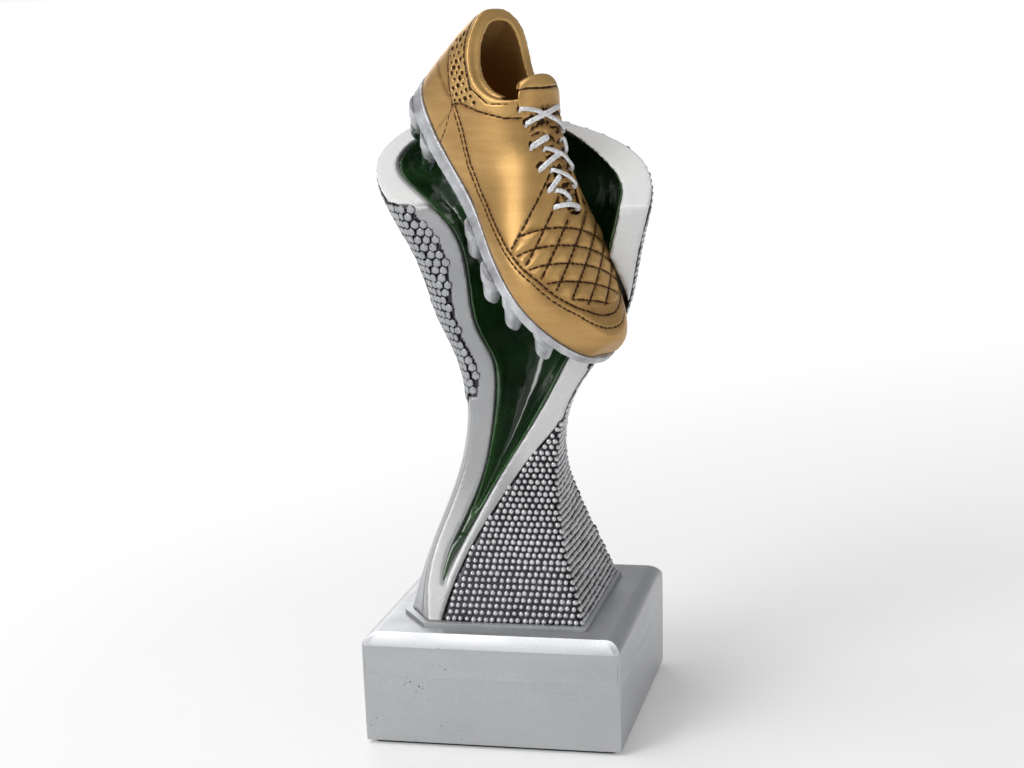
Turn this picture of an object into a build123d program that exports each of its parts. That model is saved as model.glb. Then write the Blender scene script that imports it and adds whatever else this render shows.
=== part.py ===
from build123d import *
from math import cos, radians, sin
import os

# Figure trophy: a gold football boot resting in the scoop of a twisted column on a block base.
# Millimetres. +X runs to the right along the base's front edge, +Y to the back, +Z up.
# The origin is the middle of the underside of the base pad, on the table.

# --- base ---
BASE_WIDTH = 66.0
BASE_DEPTH = 70.0
BASE_HEIGHT = 29.0
BASE_DRAFT = 0.5          # the block is this much narrower per side at its underside
BASE_SIDE_ROUND = 4.0     # rounding along the left and right top edges
BASE_FRONT_BEVEL = 3.0    # flat bevel along the front and back top edges
BASE_CORNER_ROUND = 1.5
PAD_THICK = 1.0
PAD_INSET = 1.5

# --- fixing: stud moulded into the column, nut and washer in a counterbore ---
STUD_DIA = 6.0
THREAD_CHAMFER = 0.6      # lead-in at both ends of the thread
STUD_BOTTOM = 6.0
STUD_TOP = 47.0
STUD_HOLE_DIA = 6.6
COUNTERBORE_DIA = 18.0
COUNTERBORE_TOP = 14.0
WASHER_DIA = 12.5
WASHER_THICK = 1.6
NUT_FLATS = 10.0
NUT_HEIGHT = 5.0
PIN_DIA = 3.0
PIN_BOTTOM = 21.0
PIN_TOP = 38.0
PIN_X = 12.0
PIN_Y = 10.0

# --- column ---
FLANGE_THICK = 1.0
FLANGE_STEP = 1.2         # how far the flange stands out round the foot
FOOT_Z = BASE_HEIGHT + FLANGE_THICK
BEAD_RECESS = 0.6         # bead ground lies this far behind the rim's face
LEAN_DROP = 0.55          # fall of the leaning face per millimetre it is pushed back
RIM_THICK = 2.4
LINING_SET_BACK = 1.0     # the lining starts this far inside the mouth
LINING_THICK = 1.0
FRONT_REACH = 6.0         # sections run this far past the front face before it is cut

# front face, side view: (depth Y, height Z), the same all across the width
FRONT_PROFILE = [(-26, 30), (-20, 40), (-15.2, 51), (-11.3, 63), (-9, 77), (-8, 92), (-9.4, 112), (-12, 133)]
FRONT_LEAN = (28.0, 20.0)  # run back and rise of the leaning face above the crease

# column outline at each height: z, front-left x, front-right x, right-back, left-back, left-front,
# front y, and how far the sides bow outwards
COLUMN_SECTIONS = [
    (30, -18.0, 21.7, (22, 22.5), (-24.6, 22.5), (-24.8, -15.5), -25.3, 0.2),
    (37, -18.6, 19.2, (19.8, 19.5), (-22.2, 19.5), (-23.3, -11.5), -21.6, 0.3),
    (46, -17.4, 15.8, (16.8, 15.8), (-18.6, 15.8), (-20.8, -6.5), -17.3, 0.5),
    (60, -12.0, 13.0, (12.2, 12.2), (-13.5, 12.2), (-15.6, -2), -12.2, 0.8),
    (77, -8.0, 13.5, (12, 11.5), (-10, 11.5), (-12, 0), -9.0, 1.0),
    (95, -8.5, 23.3, (20, 15), (-13, 15), (-15.5, 2), -8.0, 1.6),
    (115, -14.2, 32.5, (27, 21), (-21, 21), (-23.2, 3), -9.7, 2.4),
    (133, -21.0, 37.0, (28, 24.5), (-26, 23.5), (-31.8, 3), -12.0, 3.0),
    (143, -22.5, 37.0, (24, 24.0), (-24, 23.0), (-34.5, 4), -12.0, 3.2),
    (150, -20.0, 30.5, (14, 20.6), (-20, 20.6), (-30.5, 8), -12.0, 3.2),
    (158, -14.0, 14.5, (4, 16.2), (-14, 16.2), (-20, 8), -12.0, 3.0),
]

# the scoop: z, left mouth x, right mouth x, depth behind the front face
SCOOP_SECTIONS = [
    (38, -15.0, -14.0, 0.6),
    (43, -14.8, -12.6, 1.2),
    (50, -12.2, -9.2, 3.0),
    (60, -7.7, -3.8, 5.5),
    (77, -3.6, 6.8, 10.0),
    (95, -3.5, 17.0, 16.5),
    (115, -8.5, 26.4, 24.0),
    (133, -16.5, 31.2, 29.5),
    (140, -27.0, 28.8, 22.5),
    (146, -28.2, 20.8, 14.5),
    (151, -19.0, 11.0, 6.0),
]

# right-hand outer edge of the rim, front view (x, z), from its point at the foot to the waist
RIM_EDGE = [(-14.2, 31), (-12.2, 38), (-8, 47.5), (-1.2, 58.4), (6.5, 69.2), (14.9, 79.3), (21.7, 92.2), (26, 101)]

# --- boot, in its own frame: u forward from the heel, v to its left, w up from the sole's underside ---
BOOT_LENGTH = 86.5
BOOT_HEADING = -31.5      # degrees, turned from +X towards the front
BOOT_PITCH = 49.5         # degrees, nose down
BOOT_MIDDLE = (1.9, -3.6, 128.0)   # underside of the sole, half way along
SOLE_HEEL = 4.6           # sole plate thickness at the heel
SOLE_TOE = 2.2
SOLE_LIP = 0.5            # the plate stands out this far round the upper
SOLE_INSET = 0.955        # share of the upper half width left where it meets the sole
BELLY_SHARE = 0.16        # height of the widest line, as a share of the height above the sole
UPPER_WALL = 1.9
LINER_WALL = 1.2
FIT_GAP = 0.1
INSOLE_LIFT = 2.6
INSOLE_THICK = 1.4

# boot sections: u, half width on the outer side, half width on the inner side, top height, squareness
BOOT_SECTIONS = [
    (0.4, 4.6, 4.6, 21.0, 2.6),
    (1.8, 7.8, 7.8, 33.5, 3.2),
    (5.5, 10.6, 10.6, 35.0, 3.4),
    (13, 11.8, 11.6, 35.0, 3.2),
    (22, 12.1, 11.0, 33.6, 2.6),
    (31, 12.3, 10.2, 29.3, 2.1),
    (40, 13.2, 10.3, 25.6, 1.9),
    (50, 15.8, 12.8, 21.9, 1.9),
    (60, 17.4, 15.6, 18.2, 2.0),
    (69, 16.8, 15.8, 14.9, 2.2),
    (77, 13.2, 13.4, 12.4, 2.4),
    (82.5, 8.6, 10.4, 10.6, 2.5),
    (85.6, 3.6, 6.2, 8.8, 2.4),
]

# collar line, side view (u, w), from behind the heel tab to the front of the opening
TOPLINE = [(-1.5, 33.2), (2.5, 31.6), (9, 26.8), (16.5, 23.4), (22.5, 24.8), (26.5, 29), (28.5, 36)]
THROAT_BACK = 24.0
THROAT_FRONT = 53.5
THROAT_BACK_HALF = 5.4
THROAT_FRONT_HALF = 2.6
TONGUE_BACK = 20.5
TONGUE_FRONT = 47.0
TONGUE_THICK = 1.5
THROAT_DEPTH = UPPER_WALL + TONGUE_THICK + 0.2
CAVITY_STATIONS = [2.4, 5.5, 13, 22, 31, 40, 48]
LINER_STATIONS = [3.6, 6.5, 13, 22, 31, 40, 48]
LINER_FRONT = 23.0
LINER_BOTTOM = 9.5
LINER_RISE = 0.7
THROAT_FLOOR = 12.0

STUD_HEIGHT = 6.5
STUD_STEPS = [(0.0, 2.4, 3.1, 2.8), (2.4, 6.5, 2.4, 1.7)]   # each step: top and bottom depth, their radii
STUD_LEAN = 2.1           # how far a stud's tip leans forward, and inward
HEEL_STUDS = [(6.5, -6.8), (6.5, 6.8), (15.5, -7.6), (15.5, 7.2)]
FOREFOOT_STUDS = [(43, -10.2), (56, -13.6), (64.5, -12.0), (74, -8.0), (49, 9.0), (61, 11.8), (72, 9.6)]


SADDLE_U = 33.0
SADDLE_V = 1.0
SADDLE_LONG = 30.0
SADDLE_WIDE = 17.0
SADDLE_DEEP = 22.0
DOWEL_DIA = 2.5
DOWEL_SPOTS = [(27.0, 0.5), (38.0, 1.5)]
DOWEL_DOWN = 13.5
DOWEL_UP = 2.4

# laces: back eyelet u and half spread, front eyelet u and half spread, for each crossed pair
LACE_WIDTH = 1.3
LACE_THICK = 0.6
LACE_CROSSES = [(28.7, 6.8, 32.0, 6.6), (36.5, 6.4, 41.0, 5.8), (42.8, 5.4, 47.0, 4.8)]
LACE_LIFT = 1.35         # strand centre above the eyestay at its ends
LACE_CROWN = 1.1          # and above the instep's line in the middle
LACE_BAR_U = 51.0
LACE_BAR_HALF = 3.6

os.makedirs("parts", exist_ok=True)

heading = radians(BOOT_HEADING)
pitch = radians(BOOT_PITCH)
boot_forward = Vector(cos(pitch) * cos(heading), cos(pitch) * sin(heading), -sin(pitch))
boot_left = Vector(-sin(heading), cos(heading), 0)
boot_up = boot_forward.cross(boot_left)
boot_heel = Vector(*BOOT_MIDDLE) - boot_forward * (0.5 * BOOT_LENGTH)
sole_frame = Plane(origin=boot_heel, x_dir=boot_forward, z_dir=boot_up)
side_frame = Plane(origin=boot_heel, x_dir=boot_forward, z_dir=-boot_left)


def front_region(depth):
    """Outline, on the YZ plane, of all that lies in front of the column's front face moved in by depth."""
    crease_y, crease_z = FRONT_PROFILE[-1]
    run, rise = FRONT_LEAN
    lean_end = (crease_y + 2 * run + depth, crease_z + 2 * rise - LEAN_DROP * depth)
    curve = [(y + depth, z - LEAN_DROP * depth) for y, z in FRONT_PROFILE]
    foot_y = curve[0][0] - 6.0
    foot = (foot_y, curve[0][1] - 12.0)
    with BuildSketch(Plane.YZ) as region:
        with BuildLine():
            Spline(*curve)
            Line(curve[-1], lean_end)
            Polyline(lean_end, (-90, lean_end[1]), (-90, foot[1]), foot, curve[0])
        make_face()
    return region.sketch


def column_section(z, left, right, right_back, left_back, left_front, front, bow):
    """Five-sided outline of the column at one height, with its front edge carried past the front face."""
    r_edge = Vector(right, front)
    r_back = Vector(*right_back)
    l_back = Vector(*left_back)
    l_front = Vector(*left_front)
    f_edge = Vector(left, front)
    r_far = r_edge + (r_edge - r_back).normalized() * FRONT_REACH
    f_far = f_edge + (f_edge - l_front).normalized() * FRONT_REACH
    corners = [f_far, r_far, r_back, l_back, l_front]
    middle = Vector(0.5 * (right + left), 0.5 * (front + r_back.Y))
    with BuildSketch(Plane.XY.offset(z)) as outline:
        with BuildLine():
            Line(f_far, r_far)
            for start, end in zip(corners[1:], corners[2:] + corners[:1]):
                half = (start + end) * 0.5
                Bezier(start, half + (half - middle).normalized() * 2 * bow, end)
        make_face()
    return outline.sketch


def front_y(z):
    """Depth of the front face at height z, by straight steps between the profile's points."""
    crease_y, crease_z = FRONT_PROFILE[-1]
    if z >= crease_z:
        return crease_y + (z - crease_z) * FRONT_LEAN[0] / FRONT_LEAN[1]
    for (y0, z0), (y1, z1) in zip(FRONT_PROFILE, FRONT_PROFILE[1:]):
        if z <= z1:
            return y0 + (z - z0) * (y1 - y0) / (z1 - z0)


def scoop_section(z, left, right, deep, skin):
    """Outline of the hollow at one height: a bowl behind the face, straight out in front of it."""
    face = front_y(z)
    left += skin
    right -= skin
    deep = max(deep - skin, 0.3 * deep)
    width = right - left
    ahead = face - 12.0
    with BuildSketch(Plane.XY.offset(z)) as outline:
        with BuildLine():
            Spline(
                (left, face),
                (left + 0.03 * width, face + 0.42 * deep),
                (left + 0.24 * width, face + 0.86 * deep),
                (left + 0.52 * width, face + deep),
                (left + 0.80 * width, face + 0.84 * deep),
                (right - 0.03 * width, face + 0.42 * deep),
                (right, face),
            )
            Polyline((right, face), (right, ahead), (left, ahead), (left, face))
        make_face()
    return outline.sketch


# ---------- base ----------
# Cast resin block: the two side views crossed, then the corners rounded.
half_w = 0.5 * BASE_WIDTH
half_d = 0.5 * BASE_DEPTH
with BuildPart() as base_block:
    with BuildSketch(Plane.XZ):
        with BuildLine():
            Polyline(
                (-half_w, BASE_HEIGHT - BASE_SIDE_ROUND),
                (-half_w + BASE_DRAFT, PAD_THICK),
                (half_w - BASE_DRAFT, PAD_THICK),
                (half_w, BASE_HEIGHT - BASE_SIDE_ROUND),
            )
            RadiusArc(
                (half_w, BASE_HEIGHT - BASE_SIDE_ROUND),
                (half_w - BASE_SIDE_ROUND, BASE_HEIGHT),
                -BASE_SIDE_ROUND,
            )
            Line((half_w - BASE_SIDE_ROUND, BASE_HEIGHT), (-half_w + BASE_SIDE_ROUND, BASE_HEIGHT))
            RadiusArc(
                (-half_w + BASE_SIDE_ROUND, BASE_HEIGHT),
                (-half_w, BASE_HEIGHT - BASE_SIDE_ROUND),
                -BASE_SIDE_ROUND,
            )
        make_face()
    extrude(amount=BASE_DEPTH, both=True)
    with BuildSketch(Plane.YZ):
        with BuildLine():
            Polyline(
                (-half_d, BASE_HEIGHT - BASE_FRONT_BEVEL),
                (-half_d + BASE_DRAFT, PAD_THICK),
                (half_d - BASE_DRAFT, PAD_THICK),
                (half_d, BASE_HEIGHT - BASE_FRONT_BEVEL),
                (half_d - BASE_FRONT_BEVEL, BASE_HEIGHT),
                (-half_d + BASE_FRONT_BEVEL, BASE_HEIGHT),
                close=True,
            )
        make_face()
    extrude(amount=BASE_WIDTH, both=True, mode=Mode.INTERSECT)
    with BuildSketch():
        RectangleRounded(BASE_WIDTH, BASE_DEPTH, BASE_CORNER_ROUND)
    extrude(amount=BASE_HEIGHT, mode=Mode.INTERSECT)
    with BuildSketch(Plane.XY):
        Circle(0.5 * COUNTERBORE_DIA)
    extrude(amount=COUNTERBORE_TOP, mode=Mode.SUBTRACT)
    with BuildSketch(Plane.XY):
        Circle(0.5 * STUD_HOLE_DIA)
    extrude(amount=BASE_HEIGHT, mode=Mode.SUBTRACT)
    with BuildSketch(Plane.XY.offset(PIN_BOTTOM)):
        with Locations((PIN_X, PIN_Y)):
            Circle(0.5 * PIN_DIA)
    extrude(amount=BASE_HEIGHT, mode=Mode.SUBTRACT)
base_block.part.label = "base_block"
export_step(base_block.part, "parts/base_block.step")

# Felt pad glued under the block.
with BuildPart() as base_pad:
    with BuildSketch():
        RectangleRounded(
            BASE_WIDTH - 2 * (BASE_DRAFT + PAD_INSET), BASE_DEPTH - 2 * (BASE_DRAFT + PAD_INSET), BASE_CORNER_ROUND
        )
    extrude(amount=PAD_THICK)
base_pad.part.label = "base_pad"
export_step(base_pad.part, "parts/base_pad.step")

# ---------- fixing ----------
with BuildPart() as fixing_stud:
    with BuildSketch(Plane.XY.offset(STUD_BOTTOM)):
        Circle(0.5 * STUD_DIA)
    extrude(amount=STUD_TOP - STUD_BOTTOM)
    chamfer(fixing_stud.edges().filter_by(GeomType.CIRCLE), THREAD_CHAMFER)
fixing_stud.part.label = "fixing_stud"
export_step(fixing_stud.part, "parts/fixing_stud.step")

with BuildPart() as fixing_washer:
    with BuildSketch(Plane.XY.offset(COUNTERBORE_TOP - WASHER_THICK)):
        Circle(0.5 * WASHER_DIA)
        Circle(0.5 * STUD_HOLE_DIA, mode=Mode.SUBTRACT)
    extrude(amount=WASHER_THICK)
fixing_washer.part.label = "fixing_washer"
export_step(fixing_washer.part, "parts/fixing_washer.step")

with BuildPart() as fixing_nut:
    with BuildSketch(Plane.XY.offset(COUNTERBORE_TOP - WASHER_THICK - NUT_HEIGHT)):
        RegularPolygon(0.5 * NUT_FLATS, 6, major_radius=False)
        Circle(0.5 * STUD_DIA, mode=Mode.SUBTRACT)
    extrude(amount=NUT_HEIGHT)
fixing_nut.part.label = "fixing_nut"
export_step(fixing_nut.part, "parts/fixing_nut.step")

# Steel dowel that stops the column turning on its base.
with BuildPart() as locating_pin:
    with BuildSketch(Plane.XY.offset(PIN_BOTTOM)):
        with Locations((PIN_X, PIN_Y)):
            Circle(0.5 * PIN_DIA)
    extrude(amount=PIN_TOP - PIN_BOTTOM)
locating_pin.part.label = "locating_pin"
export_step(locating_pin.part, "parts/locating_pin.step")

# ---------- column ----------
# The whole column as one mass, before it is split into its pieces.
with BuildPart() as column_mass:
    for row in COLUMN_SECTIONS:
        add(column_section(*row))
    loft()
    extrude(front_region(0.0), amount=100, both=True, mode=Mode.SUBTRACT)

# The hollow, out to the column's own wall.
with BuildPart() as scoop_wall:
    for row in SCOOP_SECTIONS:
        add(scoop_section(*row, 0.0))
    loft()

# The hollow that is left once the lining is in.
with BuildPart() as scoop_air:
    for row in SCOOP_SECTIONS:
        add(scoop_section(*row, LINING_THICK if row[0] > 45 else 0.2))
    loft()

# Everything on the rim's side of its right-hand edge, seen from the front.
with BuildPart() as rim_side:
    with BuildSketch(Plane.XZ):
        with BuildLine():
            Spline(*RIM_EDGE)
            Polyline(RIM_EDGE[-1], (60, 112), (60, 170), (-60, 170), (-60, 20), (-14.6, 20), RIM_EDGE[0])
        make_face()
    extrude(amount=60, both=True)

# Two steel dowels, square to the sole, that pin the boot to its saddle and the column behind it.
with BuildPart() as boot_dowels:
    with BuildSketch(sole_frame.offset(-DOWEL_DOWN)):
        with Locations(*DOWEL_SPOTS):
            Circle(0.5 * DOWEL_DIA)
    extrude(amount=DOWEL_DOWN + DOWEL_UP)
boot_dowels.part.label = "boot_dowels"
export_step(boot_dowels.part, "parts/boot_dowels.step")

# Thin foot of the casting, spread on top of the base.
with BuildPart() as foot_flange:
    with BuildSketch(Plane.XY.offset(BASE_HEIGHT)):
        with BuildLine():
            Polyline((-18, -26), (22, -25.6), (22.2, 22.8), (-25, 22.8), (-25.2, -16), close=True)
        make_face()
        offset(amount=FLANGE_STEP)
        Circle(0.5 * STUD_HOLE_DIA, mode=Mode.SUBTRACT)
        with Locations((PIN_X, PIN_Y)):
            Circle(0.5 * PIN_DIA, mode=Mode.SUBTRACT)
    extrude(amount=FLANGE_THICK)
foot_flange.part.label = "foot_flange"
export_step(foot_flange.part, "parts/foot_flange.step")

# ---------- boot ----------


def sole_top(u):
    """Height of the sole plate's top at u along the boot."""
    return SOLE_HEEL + (SOLE_TOE - SOLE_HEEL) * u / BOOT_LENGTH


def boot_section(u, outer_half, inner_half, height, square, inset, floor):
    """Cross-section of the boot at u: flat below, domed above, drawn in by inset all round."""
    base_w = sole_top(u) + floor
    right = outer_half - inset
    left = inner_half - inset
    belly = base_w + BELLY_SHARE * (height - base_w)
    dome = height - inset - belly
    rim_drop = belly - base_w
    ring = []
    for step in range(11):
        angle = radians(18 * step)
        across = abs(cos(angle)) ** (2 / square) * (1 if cos(angle) > 0 else -1)
        side = left if across > 0 else right
        ring.append((across * side, belly + dome * sin(angle) ** (2 / square)))
    under_left = (SOLE_INSET * left, base_w)
    under_right = (-SOLE_INSET * right, base_w)
    plane = Plane(origin=boot_heel + boot_forward * u, x_dir=boot_left, z_dir=boot_forward)
    with BuildSketch(plane) as outline:
        with BuildLine():
            Spline(under_left, (0.99 * left, base_w + 0.45 * rim_drop), *ring[0:11],
                   (-0.99 * right, base_w + 0.45 * rim_drop), under_right)
            Line(under_right, under_left)
        make_face()
    return outline.sketch


# The whole boot above its sole, as one mass.
with BuildPart() as boot_mass:
    for row in BOOT_SECTIONS:
        add(boot_section(*row, 0.0, 0.0))
    loft()

# Sole plate: an outline a lip wider than the boot, thinning from heel to toe.
with BuildPart() as boot_sole:
    with BuildSketch(sole_frame):
        with BuildLine():
            outer_side = [(u, -SOLE_INSET * outer - SOLE_LIP) for u, outer, *_ in BOOT_SECTIONS]
            inner_side = [(u, SOLE_INSET * inner + SOLE_LIP) for u, _, inner, *_ in BOOT_SECTIONS]
            Spline((-0.5, 0), *outer_side, (BOOT_LENGTH, 1.2), *reversed(inner_side), periodic=True)
        make_face()
    extrude(amount=SOLE_HEEL + 1.0)
    with BuildSketch(side_frame):
        with BuildLine():
            Polyline((-5, sole_top(-5)), (95, sole_top(95)), (95, 20), (-5, 20), close=True)
        make_face()
    extrude(amount=40, both=True, mode=Mode.SUBTRACT)
    add(boot_dowels.part, mode=Mode.SUBTRACT)
boot_sole.part.label = "boot_sole"
export_step(boot_sole.part, "parts/boot_sole.step")


# Stepped, tapering studs under the heel and the ball of the foot, leaning forward and towards the middle.
stud_sets = []
for name, spots in (("heel_studs", HEEL_STUDS), ("forefoot_studs", FOREFOOT_STUDS)):
    with BuildPart() as studs:
        for u, v in spots:
            inward = 1 if v < 0 else -1
            for top, bottom, top_radius, bottom_radius in STUD_STEPS:
                for depth, radius in ((top, top_radius), (bottom, bottom_radius)):
                    share = depth / STUD_HEIGHT
                    with BuildSketch(sole_frame.offset(-depth)):
                        with Locations((u + share * STUD_LEAN, v + share * inward * STUD_LEAN)):
                            Circle(radius)
                loft()
    studs.part.label = name
    export_step(studs.part, f"parts/{name}.step")
    stud_sets.append(studs.part)


def section_at(u):
    """Half widths, height and squareness of the boot at u, between the rows of BOOT_SECTIONS."""
    for low, high in zip(BOOT_SECTIONS, BOOT_SECTIONS[1:]):
        if u <= high[0]:
            share = (u - low[0]) / (high[0] - low[0])
            return [a + share * (b - a) for a, b in zip(low[1:], high[1:])]


def boot_hollow(inset, floor, stations):
    """The boot's own shape drawn in by inset, from the first station to the last."""
    with BuildPart() as hollow:
        for u in stations:
            add(boot_section(u, *section_at(u), inset, floor))
        loft()
    return hollow.part


# Space of the throat: a tapering slot between the eyestays, no deeper than the underside of the tongue.
with BuildPart() as throat_cut:
    with BuildSketch(sole_frame):
        with BuildLine():
            Polyline(
                (THROAT_FRONT, THROAT_FRONT_HALF),
                (THROAT_BACK, THROAT_BACK_HALF),
                (THROAT_BACK, -THROAT_BACK_HALF),
                (THROAT_FRONT, -THROAT_FRONT_HALF),
            )
            ThreePointArc(
                (THROAT_FRONT, -THROAT_FRONT_HALF),
                (THROAT_FRONT + 0.8 * THROAT_FRONT_HALF, 0),
                (THROAT_FRONT, THROAT_FRONT_HALF),
            )
        make_face()
    extrude(amount=45)
    with BuildSketch(side_frame):
        with BuildLine():
            floor_line = [(u, section_at(u)[2] - THROAT_DEPTH) for u in (20, 31, 40, 50, 60)]
            Spline(*floor_line)
            Polyline(floor_line[-1], (60, 50), (20, 50), floor_line[0])
        make_face()
    extrude(amount=20, both=True, mode=Mode.INTERSECT)

# Upper: the mass, hollowed from the collar to the instep, cut to its collar line and open at the throat.
with BuildPart() as boot_upper:
    add(boot_mass.part)
    add(boot_hollow(UPPER_WALL, INSOLE_LIFT, CAVITY_STATIONS), mode=Mode.SUBTRACT)
    with BuildSketch(side_frame):
        with BuildLine():
            Spline(*TOPLINE)
            Polyline(TOPLINE[-1], (TOPLINE[-1][0], 50), (-8, 50), (-8, TOPLINE[0][1]), TOPLINE[0])
        make_face()
    extrude(amount=40, both=True, mode=Mode.SUBTRACT)
    add(throat_cut.part, mode=Mode.SUBTRACT)
boot_upper.part.label = "boot_upper"
export_step(boot_upper.part, "parts/boot_upper.step")

# Insole lying on the floor of the hollow.
with BuildPart() as boot_insole:
    add(boot_hollow(UPPER_WALL + FIT_GAP, INSOLE_LIFT, CAVITY_STATIONS))
    with BuildSketch(side_frame):
        with BuildLine():
            lid_heel = sole_top(-5) + INSOLE_LIFT + INSOLE_THICK
            lid_toe = sole_top(60) + INSOLE_LIFT + INSOLE_THICK
            Polyline((-5, lid_heel), (60, lid_toe), (60, 50), (-5, 50), close=True)
        make_face()
    extrude(amount=40, both=True, mode=Mode.SUBTRACT)
boot_insole.part.label = "boot_insole"
export_step(boot_insole.part, "parts/boot_insole.step")

# Tongue: follows the instep from inside and stands up out of the collar.
with BuildPart() as boot_tongue:
    add(boot_hollow(UPPER_WALL + FIT_GAP, INSOLE_LIFT, CAVITY_STATIONS))
    add(boot_hollow(UPPER_WALL + FIT_GAP + TONGUE_THICK, 0.0, CAVITY_STATIONS), mode=Mode.SUBTRACT)
    with BuildSketch(sole_frame.offset(THROAT_FLOOR)):
        with BuildLine():
            ThreePointArc((TONGUE_BACK + 4, -6.2), (TONGUE_BACK, 0), (TONGUE_BACK + 4, 6.2))
            Polyline((TONGUE_BACK + 4, 6.2), (TONGUE_FRONT, 2.9), (TONGUE_FRONT, -2.9), (TONGUE_BACK + 4, -6.2))
        make_face()
    extrude(amount=40, mode=Mode.INTERSECT)
boot_tongue.part.label = "boot_tongue"
export_step(boot_tongue.part, "parts/boot_tongue.step")

# Padded lining round the inside of the collar, standing a little above it.
with BuildPart() as boot_collar:
    add(boot_hollow(UPPER_WALL + FIT_GAP, INSOLE_LIFT, CAVITY_STATIONS))
    add(boot_hollow(UPPER_WALL + FIT_GAP + LINER_WALL, INSOLE_LIFT - 1.0, LINER_STATIONS), mode=Mode.SUBTRACT)
    with BuildSketch(side_frame):
        with BuildLine():
            lifted = [(u, w + LINER_RISE) for u, w in TOPLINE]
            Spline(*lifted)
            Polyline(lifted[-1], (lifted[-1][0], 50), (-8, 50), (-8, lifted[0][1]), lifted[0])
        make_face()
    extrude(amount=40, both=True, mode=Mode.SUBTRACT)
    with BuildSketch(side_frame):
        with BuildLine():
            Polyline((-5, LINER_BOTTOM), (LINER_FRONT, LINER_BOTTOM), (LINER_FRONT, 45), (-5, 45), close=True)
        make_face()
    extrude(amount=40, both=True, mode=Mode.INTERSECT)
    add(boot_tongue.part, mode=Mode.SUBTRACT)
boot_collar.part.label = "boot_collar"
export_step(boot_collar.part, "parts/boot_collar.step")

def throat_point(u, v, lift):
    """A point lifted above the boot's outside at u, v, in the trophy's frame."""
    outer_half, inner_half, height, square = section_at(u)
    belly = sole_top(u) + BELLY_SHARE * (height - sole_top(u))
    half = inner_half if v > 0 else outer_half
    w = belly + (height - belly) * (1 - (abs(v) / half) ** square) ** (1 / square)
    return boot_heel + boot_forward * u + boot_left * v + boot_up * (w + lift)


def lace_strand(start, middle, end):
    """Flat lace from eyelet to eyelet, bowed up over the middle of the throat."""
    with BuildLine() as path:
        ThreePointArc(start, middle, end)
    along = path.line % 0
    flat = along.cross((end - start).cross(boot_up)).normalized()
    with BuildSketch(Plane(origin=start, x_dir=along.cross(flat), z_dir=along)) as section:
        Rectangle(LACE_WIDTH, LACE_THICK)
    return sweep(section.sketch, path.line)


# Laces: three crossed pairs, one short end at the side and one straight bar at the front.
for number, (back_u, back_v, front_u, front_v) in enumerate(LACE_CROSSES, 1):
    with BuildPart() as lace:
        for side in (1, -1):
            back = throat_point(back_u, side * back_v, LACE_LIFT)
            middle = throat_point(0.5 * (back_u + front_u), 0, LACE_CROWN)
            front = throat_point(front_u, -side * front_v, LACE_LIFT)
            add(lace_strand(back, middle, front))
    lace.part.label = f"lace_cross_{number}"
    export_step(lace.part, f"parts/lace_cross_{number}.step")

with BuildPart() as lace_bar:
    left_end = throat_point(LACE_BAR_U, LACE_BAR_HALF, LACE_LIFT)
    middle = throat_point(LACE_BAR_U, 0, LACE_CROWN)
    right_end = throat_point(LACE_BAR_U, -LACE_BAR_HALF, LACE_LIFT)
    add(lace_strand(left_end, middle, right_end))
lace_bar.part.label = "lace_bar"
export_step(lace_bar.part, "parts/lace_bar.step")


# Green boss that carries the boot: fills the hollow under the middle of the sole.
with BuildPart() as boot_saddle:
    with BuildSketch(sole_frame):
        with Locations((SADDLE_U, SADDLE_V)):
            Ellipse(0.5 * SADDLE_LONG, 0.5 * SADDLE_WIDE)
    extrude(amount=-SADDLE_DEEP)
    add(scoop_air.part, mode=Mode.INTERSECT)
    add(boot_dowels.part, mode=Mode.SUBTRACT)
boot_saddle.part.label = "boot_saddle"
export_step(boot_saddle.part, "parts/boot_saddle.step")

# ---------- column pieces round the boot ----------
# All that beds into the column: the boot's outside, its sole and its studs.
bedded = [boot_mass.part, boot_sole.part, *stud_sets]

# Pearl rim: the front skin of the column on the rim's side, less the hollow's mouth and the boot's seat.
with BuildPart() as column_rim:
    add(column_mass.part)
    extrude(front_region(RIM_THICK), amount=100, both=True, mode=Mode.INTERSECT)
    add(rim_side.part, mode=Mode.INTERSECT)
    add(scoop_wall.part, mode=Mode.SUBTRACT)
    for piece in bedded:
        add(piece, mode=Mode.SUBTRACT)
    add(column_rim.part.solids().sort_by(SortBy.VOLUME)[-1], mode=Mode.REPLACE)
column_rim.part.label = "column_rim"
export_step(column_rim.part, "parts/column_rim.step")

# Poured enamel skin of the hollow.
with BuildPart() as green_lining:
    add(scoop_wall.part)
    extrude(front_region(LINING_SET_BACK), amount=100, both=True, mode=Mode.SUBTRACT)
    add(scoop_air.part, mode=Mode.SUBTRACT)
    for piece in bedded:
        add(piece, mode=Mode.SUBTRACT)
    add(boot_dowels.part, mode=Mode.SUBTRACT)
green_lining.part.label = "green_lining"
export_step(green_lining.part, "parts/green_lining.step")

# The beaded casting: the mass without its rim and hollow, its front ground set back, bored for the fixings.
with BuildPart() as rim_bed:
    extrude(front_region(RIM_THICK), amount=100, both=True)
    add(rim_side.part, mode=Mode.INTERSECT)

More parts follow.
